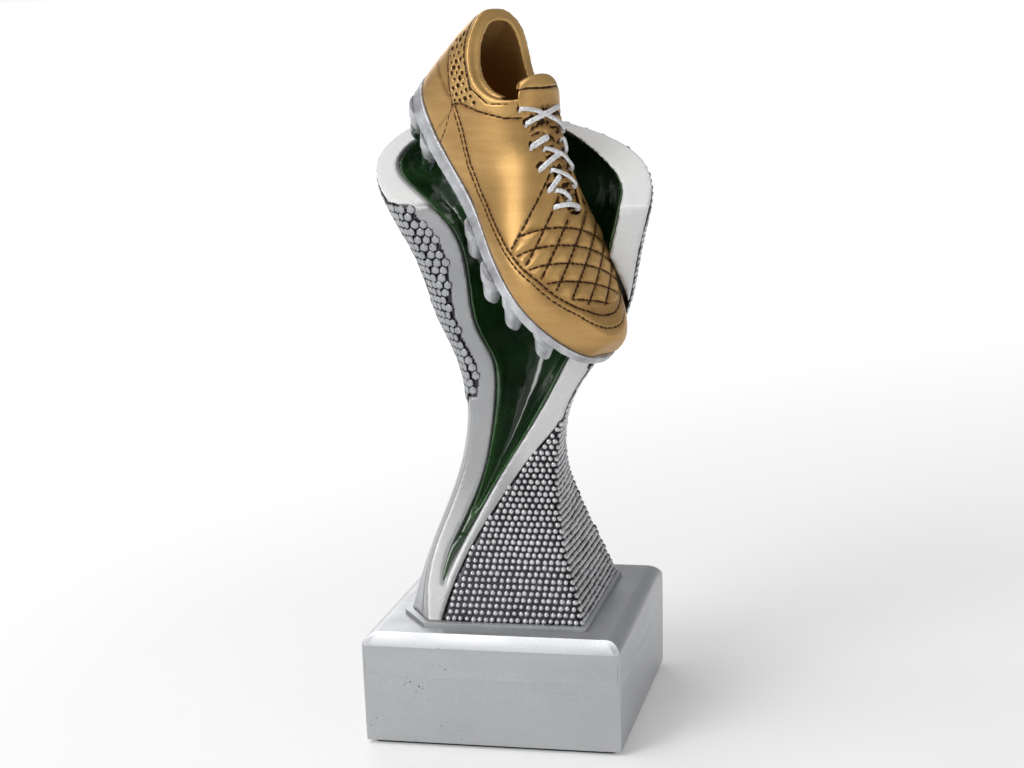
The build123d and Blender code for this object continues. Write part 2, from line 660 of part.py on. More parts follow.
with BuildPart() as column_core:
    add(column_mass.part)
    extrude(front_region(BEAD_RECESS), amount=100, both=True, mode=Mode.SUBTRACT)
    add(rim_bed.part, mode=Mode.SUBTRACT)
    add(scoop_wall.part, mode=Mode.SUBTRACT)
    with BuildSketch(Plane.XY.offset(FOOT_Z)):
        Circle(0.5 * STUD_DIA)
    extrude(amount=STUD_TOP - FOOT_Z, mode=Mode.SUBTRACT)
    with BuildSketch(Plane.XY.offset(FOOT_Z)):
        with Locations((PIN_X, PIN_Y)):
            Circle(0.5 * PIN_DIA)
    extrude(amount=PIN_TOP - FOOT_Z, mode=Mode.SUBTRACT)
    for piece in bedded:
        add(piece, mode=Mode.SUBTRACT)
    add(boot_dowels.part, mode=Mode.SUBTRACT)
column_core.part.label = "column_core"
export_step(column_core.part, "parts/column_core.step")
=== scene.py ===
import math
import bpy
import numpy as np
from mathutils import Matrix, Vector, noise
from mathutils.bvhtree import BVHTree
from mathutils.kdtree import KDTree


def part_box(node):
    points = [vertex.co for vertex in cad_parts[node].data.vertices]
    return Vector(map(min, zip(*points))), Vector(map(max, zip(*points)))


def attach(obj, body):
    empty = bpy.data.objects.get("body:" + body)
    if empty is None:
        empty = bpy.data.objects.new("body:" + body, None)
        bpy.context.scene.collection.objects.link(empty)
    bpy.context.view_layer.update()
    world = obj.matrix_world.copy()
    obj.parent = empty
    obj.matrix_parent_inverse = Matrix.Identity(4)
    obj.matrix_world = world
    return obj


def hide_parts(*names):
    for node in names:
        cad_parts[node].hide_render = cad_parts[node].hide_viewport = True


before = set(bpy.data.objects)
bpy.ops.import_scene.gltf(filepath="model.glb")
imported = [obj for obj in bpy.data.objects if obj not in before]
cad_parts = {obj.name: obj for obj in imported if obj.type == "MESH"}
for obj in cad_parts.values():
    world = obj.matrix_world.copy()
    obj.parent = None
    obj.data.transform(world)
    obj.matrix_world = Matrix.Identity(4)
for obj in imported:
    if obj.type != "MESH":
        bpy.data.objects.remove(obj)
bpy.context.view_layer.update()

# ---------- camera, floor and light ----------
# The trophy stands on a plain pale floor, seen a little from its right and from above with a long lens,
# under one large soft key from the front left, a weaker fill and a soft top light.
BASE_SPAN = 0.066
VIEW_TURN = math.radians(13.12)
VIEW_RISE = math.radians(11.39)
VIEW_ROLL = math.radians(-1.94)
CAMERA_PLACE = Vector((-0.042, 1.278, 8.06)) * BASE_SPAN
AIM = Vector((0, 0, 0.09))
FLOOR_RAMP = (0.12, 1.1, 0.16, 0.75)
toward = Vector((math.sin(VIEW_TURN) * math.cos(VIEW_RISE), -math.cos(VIEW_TURN) * math.cos(VIEW_RISE),
                 math.sin(VIEW_RISE)))
across = Vector((0, 0, 1)).cross(toward).normalized()
upward = toward.cross(across)
right = math.cos(VIEW_ROLL) * across + math.sin(VIEW_ROLL) * upward
top = -math.sin(VIEW_ROLL) * across + math.cos(VIEW_ROLL) * upward
axes = Matrix((right, top, toward)).transposed()
camera = bpy.data.objects.new("camera", bpy.data.cameras.new("camera"))
bpy.context.collection.objects.link(camera)
camera.matrix_world = Matrix.Translation(axes @ CAMERA_PLACE) @ axes.to_4x4()
camera.data.sensor_width = 36.0
camera.data.lens = 70.3
camera.data.clip_start = 0.01
bpy.context.scene.camera = camera

bpy.ops.object.select_all(action="DESELECT")
bpy.ops.mesh.primitive_circle_add(vertices=96, radius=80.0, fill_type="NGON")
floor = bpy.context.object
floor.name = "floor"
floor_paint = bpy.data.materials.new("floor_paint")
floor_paint.use_nodes = True
floor_shader = floor_paint.node_tree.nodes["Principled BSDF"]
floor_shader.inputs["Base Color"].default_value = (0.88, 0.88, 0.88, 1)
floor_shader.inputs["Roughness"].default_value = 0.7
floor_shader.inputs["Emission Color"].default_value = (1, 1, 1, 1)
floor_place = floor_paint.node_tree.nodes.new("ShaderNodeTexCoord")
floor_far = floor_paint.node_tree.nodes.new("ShaderNodeVectorMath")
floor_far.operation = "LENGTH"
floor_paint.node_tree.links.new(floor_place.outputs["Object"], floor_far.inputs[0])
# the floor glows by itself, faintly near the trophy and more strongly further out, so that it fades into the
# sky: painted light on the floor
floor_glow = floor_paint.node_tree.nodes.new("ShaderNodeMapRange")
for label, number in zip(("From Min", "From Max", "To Min", "To Max"), FLOOR_RAMP):
    floor_glow.inputs[label].default_value = number
floor_paint.node_tree.links.new(floor_far.outputs["Value"], floor_glow.inputs["Value"])
floor_paint.node_tree.links.new(floor_glow.outputs[0], floor_shader.inputs["Emission Strength"])
floor.data.materials.append(floor_paint)


def softbox(name, place, width, height, power):
    """A rectangular soft light aimed at the middle of the trophy."""
    light = bpy.data.objects.new(name, bpy.data.lights.new(name, "AREA"))
    bpy.context.collection.objects.link(light)
    light.data.shape = "RECTANGLE"
    light.data.size = width
    light.data.size_y = height
    light.data.energy = power
    light.location = place
    light.rotation_euler = (AIM - Vector(place)).to_track_quat("-Z", "Y").to_euler()


softbox("key_light", (-0.55, -0.75, 0.62), 0.5, 0.5, 4.0)
softbox("fill_light", (0.75, -0.55, 0.30), 0.5, 0.7, 0.7)
softbox("top_light", (-0.26, -0.16, 1.0), 0.5, 0.45, 2.8)
softbox("back_light", (-0.45, 0.75, 0.40), 0.5, 0.5, 1.5)
world = bpy.data.worlds.new("studio")
bpy.context.scene.world = world
world.use_nodes = True
sky = world.node_tree.nodes["Background"]
sky.inputs["Color"].default_value = (0.95, 0.96, 0.98, 1)
seen = world.node_tree.nodes.new("ShaderNodeLightPath")
sky_strength = world.node_tree.nodes.new("ShaderNodeMapRange")
sky_strength.inputs["To Min"].default_value = 0.38
sky_strength.inputs["To Max"].default_value = 1.0
world.node_tree.links.new(seen.outputs["Is Camera Ray"], sky_strength.inputs["Value"])
world.node_tree.links.new(sky_strength.outputs[0], sky.inputs["Strength"])
bpy.context.scene.view_settings.view_transform = "Standard"

# ---------- base block ----------
# Solid block of cast polyresin, sprayed in satin silver lacquer with a faint brushed look. A few pinholes
# of the casting show on its front. The column is clamped down on it by a stud and nut from below.


def take_casting(node, name):
    """A new object with a CAD piece's mesh, its loose triangles joined; it stands for that piece."""
    piece = bpy.data.objects.new(name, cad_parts[node].data.copy())
    bpy.context.collection.objects.link(piece)
    piece.data.materials.clear()
    bpy.ops.object.select_all(action="DESELECT")
    piece.select_set(True)
    bpy.context.view_layer.objects.active = piece
    bpy.ops.object.mode_set(mode="EDIT")
    bpy.ops.mesh.select_all(action="SELECT")
    bpy.ops.mesh.remove_doubles(threshold=0.000002)
    bpy.ops.object.mode_set(mode="OBJECT")
    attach(piece, "root")
    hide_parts(node)
    return piece


def apply_modifiers(piece):
    """Applies all of a piece's modifiers, in order."""
    bpy.ops.object.select_all(action="DESELECT")
    piece.select_set(True)
    bpy.context.view_layer.objects.active = piece
    for modifier in list(piece.modifiers):
        bpy.ops.object.modifier_apply(modifier=modifier.name)


def round_edges(piece, width, segments=3):
    """Bevels the sharp edges of a casting as paint and moulding leave them."""
    bevel = piece.modifiers.new("edges", "BEVEL")
    bevel.width = width
    bevel.segments = segments
    bevel.limit_method = "ANGLE"
    bevel.angle_limit = math.radians(28)
    apply_modifiers(piece)
    bpy.ops.object.shade_smooth_by_angle(angle=math.radians(40))


def even_skin(piece, cell, rounds):
    """Gives a casting one even skin of small faces, with its edges softened as in a resin cast."""
    remesh = piece.modifiers.new("skin", "REMESH")
    remesh.mode = "VOXEL"
    remesh.voxel_size = cell
    soften = piece.modifiers.new("soften", "SMOOTH")
    soften.factor = 0.5
    soften.iterations = rounds
    apply_modifiers(piece)
    bpy.ops.object.shade_smooth()


def group(name, inputs, outputs):
    """An empty node group with named inputs and outputs, and its input and output nodes."""
    tree = bpy.data.node_groups.new(name, "ShaderNodeTree")
    for label, kind in inputs:
        tree.interface.new_socket(name=label, in_out="INPUT", socket_type=kind)
    for label, kind in outputs:
        tree.interface.new_socket(name=label, in_out="OUTPUT", socket_type=kind)
    return tree, tree.nodes.new("NodeGroupInput"), tree.nodes.new("NodeGroupOutput")


def mix_color(tree, factor, low, high, blend="MIX"):
    """A colour mix node; each of the three inputs is a socket or a plain value. Returns its result."""
    node = tree.nodes.new("ShaderNodeMix")
    node.data_type = "RGBA"
    node.blend_type = blend
    for slot, value in ((node.inputs[0], factor), (node.inputs[6], low), (node.inputs[7], high)):
        if isinstance(value, bpy.types.NodeSocket):
            tree.links.new(value, slot)
        else:
            slot.default_value = value
    return node.outputs[2]


def calc(tree, operation, *values):
    """A math node on sockets or plain numbers. Returns its result."""
    node = tree.nodes.new("ShaderNodeMath")
    node.operation = operation
    for slot, value in zip(node.inputs, values):
        if isinstance(value, bpy.types.NodeSocket):
            tree.links.new(value, slot)
        else:
            slot.default_value = value
    return node.outputs[0]


def noise_of(tree, coords, scale, detail=3.0, stretch=(1, 1, 1)):
    """Noise on the given coordinates, stretched along the axes. Returns its value."""
    mapping = tree.nodes.new("ShaderNodeMapping")
    mapping.inputs["Scale"].default_value = stretch
    tree.links.new(coords, mapping.inputs["Vector"])
    node = tree.nodes.new("ShaderNodeTexNoise")
    node.inputs["Scale"].default_value = scale
    node.inputs["Detail"].default_value = detail
    tree.links.new(mapping.outputs[0], node.inputs["Vector"])
    return node.outputs[0]


def spread(tree, value, low, high, to_low=0.0, to_high=1.0):
    """Maps a value from one range onto another, clamped."""
    node = tree.nodes.new("ShaderNodeMapRange")
    tree.links.new(value, node.inputs["Value"])
    for label, number in zip(("From Min", "From Max", "To Min", "To Max"), (low, high, to_low, to_high)):
        node.inputs[label].default_value = number
    return node.outputs[0]


# Sprayed lacquer: a slow mottle in tone, a fine metallic grain, and small pits that hold dirt.
lacquer, lac_in, lac_out = group(
    "sprayed_lacquer",
    [("Coordinates", "NodeSocketVector"), ("Colour", "NodeSocketColor"), ("Dirt", "NodeSocketColor"),
     ("Mottle", "NodeSocketFloat"), ("Pits", "NodeSocketFloat"), ("Roughness", "NodeSocketFloat")],
    [("Colour", "NodeSocketColor"), ("Roughness", "NodeSocketFloat"), ("Height", "NodeSocketFloat")])
slow = noise_of(lacquer, lac_in.outputs["Coordinates"], 70)
fine = noise_of(lacquer, lac_in.outputs["Coordinates"], 2600, 2.0)
pit_cells = lacquer.nodes.new("ShaderNodeTexVoronoi")
pit_cells.inputs["Scale"].default_value = 620
lacquer.links.new(lac_in.outputs["Coordinates"], pit_cells.inputs["Vector"])
patch = spread(lacquer, noise_of(lacquer, lac_in.outputs["Coordinates"], 160), 0.55, 0.7)
pit_core = calc(lacquer, "MULTIPLY", spread(lacquer, pit_cells.outputs["Distance"], 0.22, 0.08), patch)
pit = calc(lacquer, "MULTIPLY", pit_core, lac_in.outputs["Pits"])
tone = calc(lacquer, "MULTIPLY", spread(lacquer, slow, 0.3, 0.7, -1.0, 1.0), lac_in.outputs["Mottle"])
tone = calc(lacquer, "ADD", tone, spread(lacquer, fine, 0.35, 0.7, -0.04, 0.07))
toned = lacquer.nodes.new("ShaderNodeHueSaturation")
lacquer.links.new(calc(lacquer, "ADD", tone, 1.0), toned.inputs["Value"])
lacquer.links.new(lac_in.outputs["Colour"], toned.inputs["Color"])
lacquer.links.new(mix_color(lacquer, pit, toned.outputs[0], lac_in.outputs["Dirt"]), lac_out.inputs["Colour"])
rough = calc(lacquer, "ADD", lac_in.outputs["Roughness"], spread(lacquer, slow, 0.3, 0.7, -0.05, 0.07))
rough = calc(lacquer, "ADD", rough, calc(lacquer, "MULTIPLY", pit, 0.3))
lacquer.links.new(rough, lac_out.inputs["Roughness"])
height = calc(lacquer, "SUBTRACT", calc(lacquer, "MULTIPLY", fine, 0.25), pit)
lacquer.links.new(height, lac_out.inputs["Height"])


def lacquered(name, colour, dirt, mottle, pits, roughness, metallic, bump=0.2, coat=0.0):
    """A material of sprayed lacquer. Returns it with its tree, shader, colour socket and group node."""
    material = bpy.data.materials.new(name)
    material.use_nodes = True
    tree = material.node_tree
    shader = tree.nodes["Principled BSDF"]
    coords = tree.nodes.new("ShaderNodeTexCoord").outputs["Object"]
    spray = tree.nodes.new("ShaderNodeGroup")
    spray.node_tree = lacquer
    tree.links.new(coords, spray.inputs["Coordinates"])
    spray.inputs["Colour"].default_value = (*colour, 1)
    spray.inputs["Dirt"].default_value = (*dirt, 1)
    spray.inputs["Mottle"].default_value = mottle
    spray.inputs["Pits"].default_value = pits
    spray.inputs["Roughness"].default_value = roughness
    relief = tree.nodes.new("ShaderNodeBump")
    relief.inputs["Strength"].default_value = bump
    relief.inputs["Distance"].default_value = 0.0001
    tree.links.new(spray.outputs["Height"], relief.inputs["Height"])
    tree.links.new(relief.outputs[0], shader.inputs["Normal"])
    tree.links.new(spray.outputs["Colour"], shader.inputs["Base Color"])
    tree.links.new(spray.outputs["Roughness"], shader.inputs["Roughness"])
    shader.inputs["Metallic"].default_value = metallic
    shader.inputs["Coat Weight"].default_value = coat
    shader.inputs["Coat Roughness"].default_value = 0.25
    return material, tree, shader, coords, spray


SILVER = (0.46, 0.465, 0.475)
base_silver, tree, _, coords, spray = lacquered(
    "base_silver", SILVER, (0.05, 0.05, 0.055), 0.05, 0.8, 0.36, 0.85, 0.2)
streaks = noise_of(tree, coords, 120, 4.0, (1, 1, 14))
streaked = spread(tree, streaks, 0.35, 0.65, 0.0, 0.16)
brushed = mix_color(tree, streaked, (*SILVER, 1), (0.55, 0.555, 0.565, 1))
tree.links.new(brushed, spray.inputs["Colour"])
place = tree.nodes.new("ShaderNodeSeparateXYZ")
tree.links.new(coords, place.inputs[0])
tree.links.new(spread(tree, place.outputs["X"], 0.004, -0.012, 0.0, 0.85), spray.inputs["Pits"])
base_block = take_casting("base_block", "base_block_cast")
round_edges(base_block, 0.00045)
base_block.data.materials.append(base_silver)

# ---------- foot flange ----------
# Thin step of the column's own casting where it meets the base, left bright at its edge, with the dark
# wash pooled on its top against the beads.
flange_silver = lacquered("flange_silver", SILVER, (0.06, 0.06, 0.065), 0.08, 0.6, 0.36, 0.7, 0.3)[0]
foot_flange = take_casting("foot_flange", "foot_flange_cast")
round_edges(foot_flange, 0.0003, 2)
foot_flange.data.materials.append(flange_silver)

# ---------- base pad ----------
# Thin sheet of dark green felt, cut a little smaller than the block and glued under it, so that the trophy
# does not scratch the shelf.
felt_pad = take_casting("base_pad", "felt_pad")
round_edges(felt_pad, 0.0003, 2)
felt = bpy.data.materials.new("felt")
felt.use_nodes = True
tree = felt.node_tree
shader = tree.nodes["Principled BSDF"]
coords = tree.nodes.new("ShaderNodeTexCoord").outputs["Object"]
fibres = noise_of(tree, coords, 1800, 5.0, (1, 0.4, 1))
nap = mix_color(tree, fibres, (0.006, 0.014, 0.008, 1), (0.03, 0.06, 0.035, 1))
tree.links.new(nap, shader.inputs["Base Color"])
tree.links.new(spread(tree, fibres, 0.3, 0.7, 0.85, 1.0), shader.inputs["Roughness"])
relief = tree.nodes.new("ShaderNodeBump")
relief.inputs["Strength"].default_value = 0.6
relief.inputs["Distance"].default_value = 0.0002
tree.links.new(fibres, relief.inputs["Height"])
tree.links.new(relief.outputs[0], shader.inputs["Normal"])
shader.inputs["Sheen Weight"].default_value = 0.4
felt_pad.data.materials.append(felt)

# ---------- hidden fixings ----------
# Zinc plated steel: the M6 stud with its washer and nut, the pin that stops the column turning, and the
# two dowels under the boot. They keep their CAD shape.
zinc = lacquered("zinc_plate", (0.55, 0.56, 0.58), (0.1, 0.09, 0.07), 0.12, 0.4, 0.34, 1.0)[0]
for node in ("fixing_stud", "fixing_washer", "fixing_nut", "locating_pin", "boot_dowels"):
    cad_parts[node].data.materials.clear()
    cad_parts[node].data.materials.append(zinc)

# ---------- column casting ----------
# One resin casting, silver with a black wash rubbed into the low places. Its front, right and back are
# covered in round beads; the left edge carries flatter scales above the waist and plain bands below it.
BEAD_PITCH = 0.00165
BEAD_ROW = 0.00147
BEAD_RADIUS = 0.00087
SCALE_PITCH = 0.00225
SCALE_ROW = 0.00195
SCALE_RADIUS = 0.00124
RIM_WIDTH = 0.0044
WAIST_Z = 0.084
FLANK_TOP = 0.134
SCALE_DIAGONAL = 0.02
RIM, LINING = 1, 2
FOOT_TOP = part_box("foot_flange")[1][2]


def surface_of(pieces):
    """One search tree over several pieces' triangles, with the index of the piece each came from."""
    points, faces, owner = [], [], []
    for index, piece in enumerate(pieces):
        piece.data.calc_loop_triangles()
        start = len(points)
        points += [v.co.copy() for v in piece.data.vertices]
        faces += [[start + i for i in t.vertices] for t in piece.data.loop_triangles]
        owner += [index] * len(piece.data.loop_triangles)
    return BVHTree.FromPolygons(points, faces), owner


column = take_casting("column_core", "column_cast")
column_rim = take_casting("column_rim", "column_rim_cast")
lining_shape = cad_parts["green_lining"]
column_tree, column_owner = surface_of([column, column_rim, lining_shape])
lining_tree, _ = surface_of([lining_shape])


def on_flank(spot, normal):
    """True on the part of the left wall that lies outside the rim, above the waist."""
    return (spot.x < -0.004 and spot.z > WAIST_Z and normal.y < 0.5
            and lining_tree.find_nearest(spot)[3] > RIM_WIDTH)


def outline_at(z, turns=1000):
    """Runs of (point, normal) round the column's outside at height z that carry relief, from the left on."""
    centre = Vector((0.002, 0.006, z))
    runs = [[]]
    for step in range(turns):
        angle = math.pi + 2 * math.pi * step / turns
        outward = Vector((math.cos(angle), math.sin(angle), 0))
        hit, normal, index, _ = column_tree.ray_cast(centre + outward * 0.09, -outward, 0.09)
        bare = hit is None or normal.dot(outward) < 0.22 or column_owner[index] == LINING
        if not bare and column_owner[index] == RIM:
            bare = not on_flank(hit, normal) or z > FLANK_TOP
        if bare or (runs[-1] and (hit - runs[-1][-1][0]).length > 0.003):
            if runs[-1]:
                runs.append([])
        if not bare:
            runs[-1].append((hit, normal))
    return [run for run in runs if len(run) > 2]


def spaced(run, pitch, shift, at_ridge):
    """Spots along one run, a pitch apart, counted from the front right ridge or from a diagonal plane."""
    reach = [0.0]
    for (here, _), (there, _) in zip(run, run[1:]):
        reach.append(reach[-1] + (there - here).length)
    if at_ridge:
        turned = [i for i in range(1, len(run))
                  if run[i][1].x > 0.6 >= run[i - 1][1].x and run[i][0].y < 0.01]
        start = reach[turned[0]] if turned else 0.0
    else:
        past = [spot.x - spot.y + SCALE_DIAGONAL for spot, _ in run]
        nearest = min(range(len(run)), key=lambda i: abs(past[i]))
        start = reach[nearest] - past[nearest]
    start = (start + shift) % pitch
    picked = []
    for i in range(len(run)):
        if reach[i] >= start + len(picked) * pitch:
            mean = sum((normal for _, normal in run[max(0, i - 5):i + 6]), Vector())
            picked.append((run[i][0], mean.normalized()))
    return picked


def is_left(normal):
    """True where the wall faces left, which carries scales instead of beads."""
    return normal.x < -0.30 and normal.y < 0.8


places = []
column_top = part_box("column_core")[1][2] - 0.0008
for flat, lowest, rise, pitch in ((False, FOOT_TOP + 0.0006, BEAD_ROW, BEAD_PITCH),
                                  (True, WAIST_Z, SCALE_ROW, SCALE_PITCH)):
    row = 0
    while lowest + row * rise <= column_top:
        for run in outline_at(lowest + row * rise):
            for spot, normal in spaced(run, pitch, (row % 2) * 0.5 * pitch, not flat):
                if (is_left(normal) or on_flank(spot, normal)) == flat:
                    places.append((spot, normal, flat))
        row += 1
near_bead = KDTree(len(places))
for index, (spot, _, _) in enumerate(places):
    near_bead.insert(spot, index)
near_bead.balance()

BEAD_PROFILE = [(0.5, 0.87), (0.87, 0.5), (1.0, 0.0)]
SCALE_PROFILE = [(0.62, 0.98), (0.90, 0.82), (1.0, 0.25)]


def bead_shape(sides, profile):
    """Points and faces of one low dome, pole up, from the radius and height of each ring."""
    points = [(0.0, 0.0, 1.0)]
    for radius, lift in profile:
        for side in range(sides):
            turn = 2 * math.pi * (side + 0.5) / sides
            points.append((radius * math.cos(turn), radius * math.sin(turn), lift))
    faces = [(0, 1 + side, 1 + (side + 1) % sides) for side in range(sides)]
    for ring in range(len(profile) - 1):
        low = 1 + ring * sides
        for side in range(sides):
            nxt = (side + 1) % sides
            faces.append((low + side, low + sides + side, low + sides + nxt, low + nxt))
    faces.append(tuple(1 + (len(profile) - 1) * sides + side for side in range(sides))[::-1])
    return np.array(points), faces


def scatter_beads(name, chosen, flat):
    """Joins one dome per place into a piece, each with its own slight size and offset."""
    dice = np.random.default_rng(7)
    dome, dome_faces = bead_shape(6, SCALE_PROFILE) if flat else bead_shape(8, BEAD_PROFILE)
    points, faces, crown = [], [], []
    for spot, normal, _ in chosen:
        side = Vector((0, 0, 1)).cross(normal).normalized()
        frame_turn = Matrix((side, normal.cross(side), normal)).transposed()
        size = (SCALE_RADIUS if flat else BEAD_RADIUS) * dice.uniform(0.95, 1.04)
        nudge = Vector(dice.normal(0, 0.00005, 3))
        start = len(points)
        for x, y, z in dome:
            lifted = Vector((x, y, (z - 0.28) * (0.42 if flat else 0.95)))
            points.append(spot + nudge + frame_turn @ (lifted * size))
            crown.append(z)
        faces += [tuple(start + i for i in face) for face in dome_faces]
    mesh = bpy.data.meshes.new(name)
    mesh.from_pydata([tuple(p) for p in points], [], faces)
    mesh.attributes.new("crown", "FLOAT", "POINT").data.foreach_set("value", crown)
    piece = bpy.data.objects.new(name, mesh)
    bpy.context.collection.objects.link(piece)
    for polygon in mesh.polygons:
        polygon.use_smooth = True
    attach(piece, "root")
    return piece


def washed_silver(name, bright, dark, low, high):
    """Silver whose crowns are rubbed bright and whose feet keep the dark wash, by the crown attribute."""
    material, tree, _, coords, spray = lacquered(name, bright, (0.02, 0.02, 0.022), 0.1, 0.4, 0.30, 0.8, 0.15)
    crown = tree.nodes.new("ShaderNodeAttribute")
    crown.attribute_name = "crown"
    blotch = noise_of(tree, coords, 420, 3.0)
    lift = calc(tree, "ADD", crown.outputs["Fac"], spread(tree, blotch, 0.3, 0.7, -0.18, 0.18))
    rubbed = spread(tree, lift, low, high)
    tree.links.new(mix_color(tree, rubbed, (*dark, 1), (*bright, 1)), spray.inputs["Colour"])
    return material


bead_silver = washed_silver("bead_silver", (0.60, 0.605, 0.61), (0.025, 0.025, 0.03), 0.38, 0.80)
scale_silver = washed_silver("scale_silver", (0.36, 0.365, 0.375), (0.03, 0.03, 0.035), 0.30, 0.95)
sides = {
    "beads_front": lambda s, n, flat: not flat and n.y < -0.6,
    "beads_right": lambda s, n, flat: not flat and n.y >= -0.6 and n.x > 0.55,
    "beads_back": lambda s, n, flat: not flat and n.y >= -0.6 and n.x <= 0.55,
    "scales_left": lambda s, n, flat: flat,
}
for name, belongs in sides.items():
    flat = name == "scales_left"
    beads = scatter_beads(name, [spot for spot in places if belongs(*spot)], flat)
    beads.data.materials.append(scale_silver if flat else bead_silver)

even_skin(column, cell=0.0007, rounds=2)
low_ground = column.data.attributes.new("crown", "FLOAT", "POINT")
for index, vertex in enumerate(column.data.vertices):
    away = near_bead.find(vertex.co)[2]
    low_ground.data[index].value = min(max((away - 0.0013) / 0.0012, 0.0), 1.0)
column_silver = washed_silver("column_silver", (0.44, 0.445, 0.455), (0.035, 0.035, 0.04), 0.1, 0.9)
column.data.materials.append(column_silver)

# ---------- pearl rim ----------
# The raised edge of the scoop in pearl silver, with a painted highlight, near white, above the crease where
# it faces up to the light, and painted shade in grey below it, lighter towards the foot and on the right. It
# stands a little proud of the beads.
CREASE_Z = 0.133


def read_points(piece):
    """A piece's vertex positions and normals as arrays of metres."""
    count = len(piece.data.vertices)
    spots = np.empty(count * 3)
    normals = np.empty(count * 3)
    piece.data.vertices.foreach_get("co", spots)
    piece.data.vertex_normals.foreach_get("vector", normals)
    return spots.reshape(-1, 3), normals.reshape(-1, 3)


def move_points(piece, spots):
    """Writes vertex positions back to a piece."""
    piece.data.vertices.foreach_set("co", spots.ravel())
    piece.data.update()


def paint_value(piece, name, values):
    """Stores one number per vertex, which the piece's material reads by name."""
    slot = piece.data.attributes.new(name, "FLOAT", "POINT")
    slot.data.foreach_set("value", np.asarray(values, dtype=float))


def attribute_of(tree, name):
    """The number stored per vertex under a name, as a socket."""
    node = tree.nodes.new("ShaderNodeAttribute")
    node.attribute_name = name
    return node.outputs["Fac"]


even_skin(column_rim, cell=0.00045, rounds=3)
spots, normals = read_points(column_rim)
flank = np.array([float(on_flank(Vector(spot), Vector(normal)) and spot[2] < FLANK_TOP)
                  for spot, normal in zip(spots, normals)])
move_points(column_rim, spots - normals * (0.0004 * flank)[:, None])
paint_value(column_rim, "flank", flank)
pearl, tree, shader, coords, spray = lacquered(
    "pearl_silver", (0.80, 0.80, 0.795), (0.2, 0.2, 0.2), 0.03, 0.25, 0.36, 0.25, 0.15, 0.15)
place = tree.nodes.new("ShaderNodeSeparateXYZ")
tree.links.new(coords, place.inputs[0])
wander = spread(tree, noise_of(tree, coords, 220), 0.3, 0.7, -0.0016, 0.0016)
ragged = calc(tree, "ADD", place.outputs["Z"], wander)
# the near white above the crease is a painted highlight where the rim faces up to the top light
above = spread(tree, ragged, CREASE_Z - 0.0012, CREASE_Z + 0.0008)
# painted shade in grey just below the crease, with painted light growing towards the foot
painted_light_to_foot = spread(tree, place.outputs["Z"], 0.095, 0.045)
satin_painted_shade = mix_color(tree, painted_light_to_foot, (0.30, 0.303, 0.31, 1), (0.45, 0.452, 0.45, 1))
cloud = spread(tree, noise_of(tree, coords, 90), 0.35, 0.7, 0, 0.35)
cloudy = mix_color(tree, cloud, satin_painted_shade, (0.42, 0.42, 0.42, 1))
# painted light on the right side of the rim, which is paler than the left
painted_light_right = spread(tree, place.outputs["X"], 0.0, 0.006)
diagonal = mix_color(tree, painted_light_right, cloudy, (0.58, 0.58, 0.575, 1))
rim_tone_painted_light = mix_color(tree, above, diagonal, (0.72, 0.72, 0.71, 1))
flank_tone = mix_color(tree, attribute_of(tree, "flank"), rim_tone_painted_light, (0.035, 0.035, 0.04, 1))
tree.links.new(flank_tone, spray.inputs["Colour"])
metal = calc(tree, "MULTIPLY", calc(tree, "SUBTRACT", 1.0, above), 0.45)
tree.links.new(metal, shader.inputs["Metallic"])
column_rim.data.materials.append(pearl)

# ---------- green enamel ----------
# Dark green enamel poured into the scoop and run up round the studs, so the lining and the bed under the
# boot are one glossy skin with slow waves, thin and brighter along the edges of the scoop.


def join_all(pieces):
    """Joins pieces into the first of them, which stays selected and active."""
    bpy.ops.object.select_all(action="DESELECT")
    for piece in pieces:
        piece.select_set(True)
    bpy.context.view_layer.objects.active = pieces[0]
    if len(pieces) > 1:
        bpy.ops.object.join()


enamel = take_casting("green_lining", "green_enamel")
join_all([enamel, take_casting("boot_saddle", "saddle_part")])
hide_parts("green_lining", "boot_saddle")
even_skin(enamel, cell=0.0005, rounds=22)
rim_tree, _ = surface_of([column_rim])
spots, normals = read_points(enamel)
edge_gap = np.array([rim_tree.find_nearest(Vector(spot))[3] for spot in spots])
waves = np.array([noise.noise(Vector(spot) * 130) for spot in spots])
ripples = np.array([noise.noise(Vector(spot) * 420 + Vector((3, 1, 2))) for spot in spots])
calm = np.clip((edge_gap - 0.0006) / 0.003, 0, 1)
move_points(enamel, spots + normals * ((0.00035 * waves + 0.00010 * ripples) * calm)[:, None])
paint_value(enamel, "thin", 1 - np.clip(edge_gap / 0.0035, 0, 1))
green, tree, shader, coords, spray = lacquered(
    "green_enamel", (0.004, 0.026, 0.007), (0.001, 0.004, 0.002), 0.25, 0.1, 0.22, 0.0, 0.0, 1.0)
shader.inputs["Coat Roughness"].default_value = 0.1
pooled = spread(tree, noise_of(tree, coords, 75, 4.0), 0.38, 0.68)
deep = mix_color(tree, pooled, (0.006, 0.022, 0.006, 1), (0.020, 0.068, 0.018, 1))
edge = calc(tree, "MULTIPLY", calc(tree, "POWER", attribute_of(tree, "thin"), 1.3),
            spread(tree, noise_of(tree, coords, 90), 0.35, 0.65, 0.15, 0.75))
tree.links.new(mix_color(tree, edge, deep, (0.026, 0.120, 0.012, 1)), spray.inputs["Colour"])
enamel.data.materials.append(green)


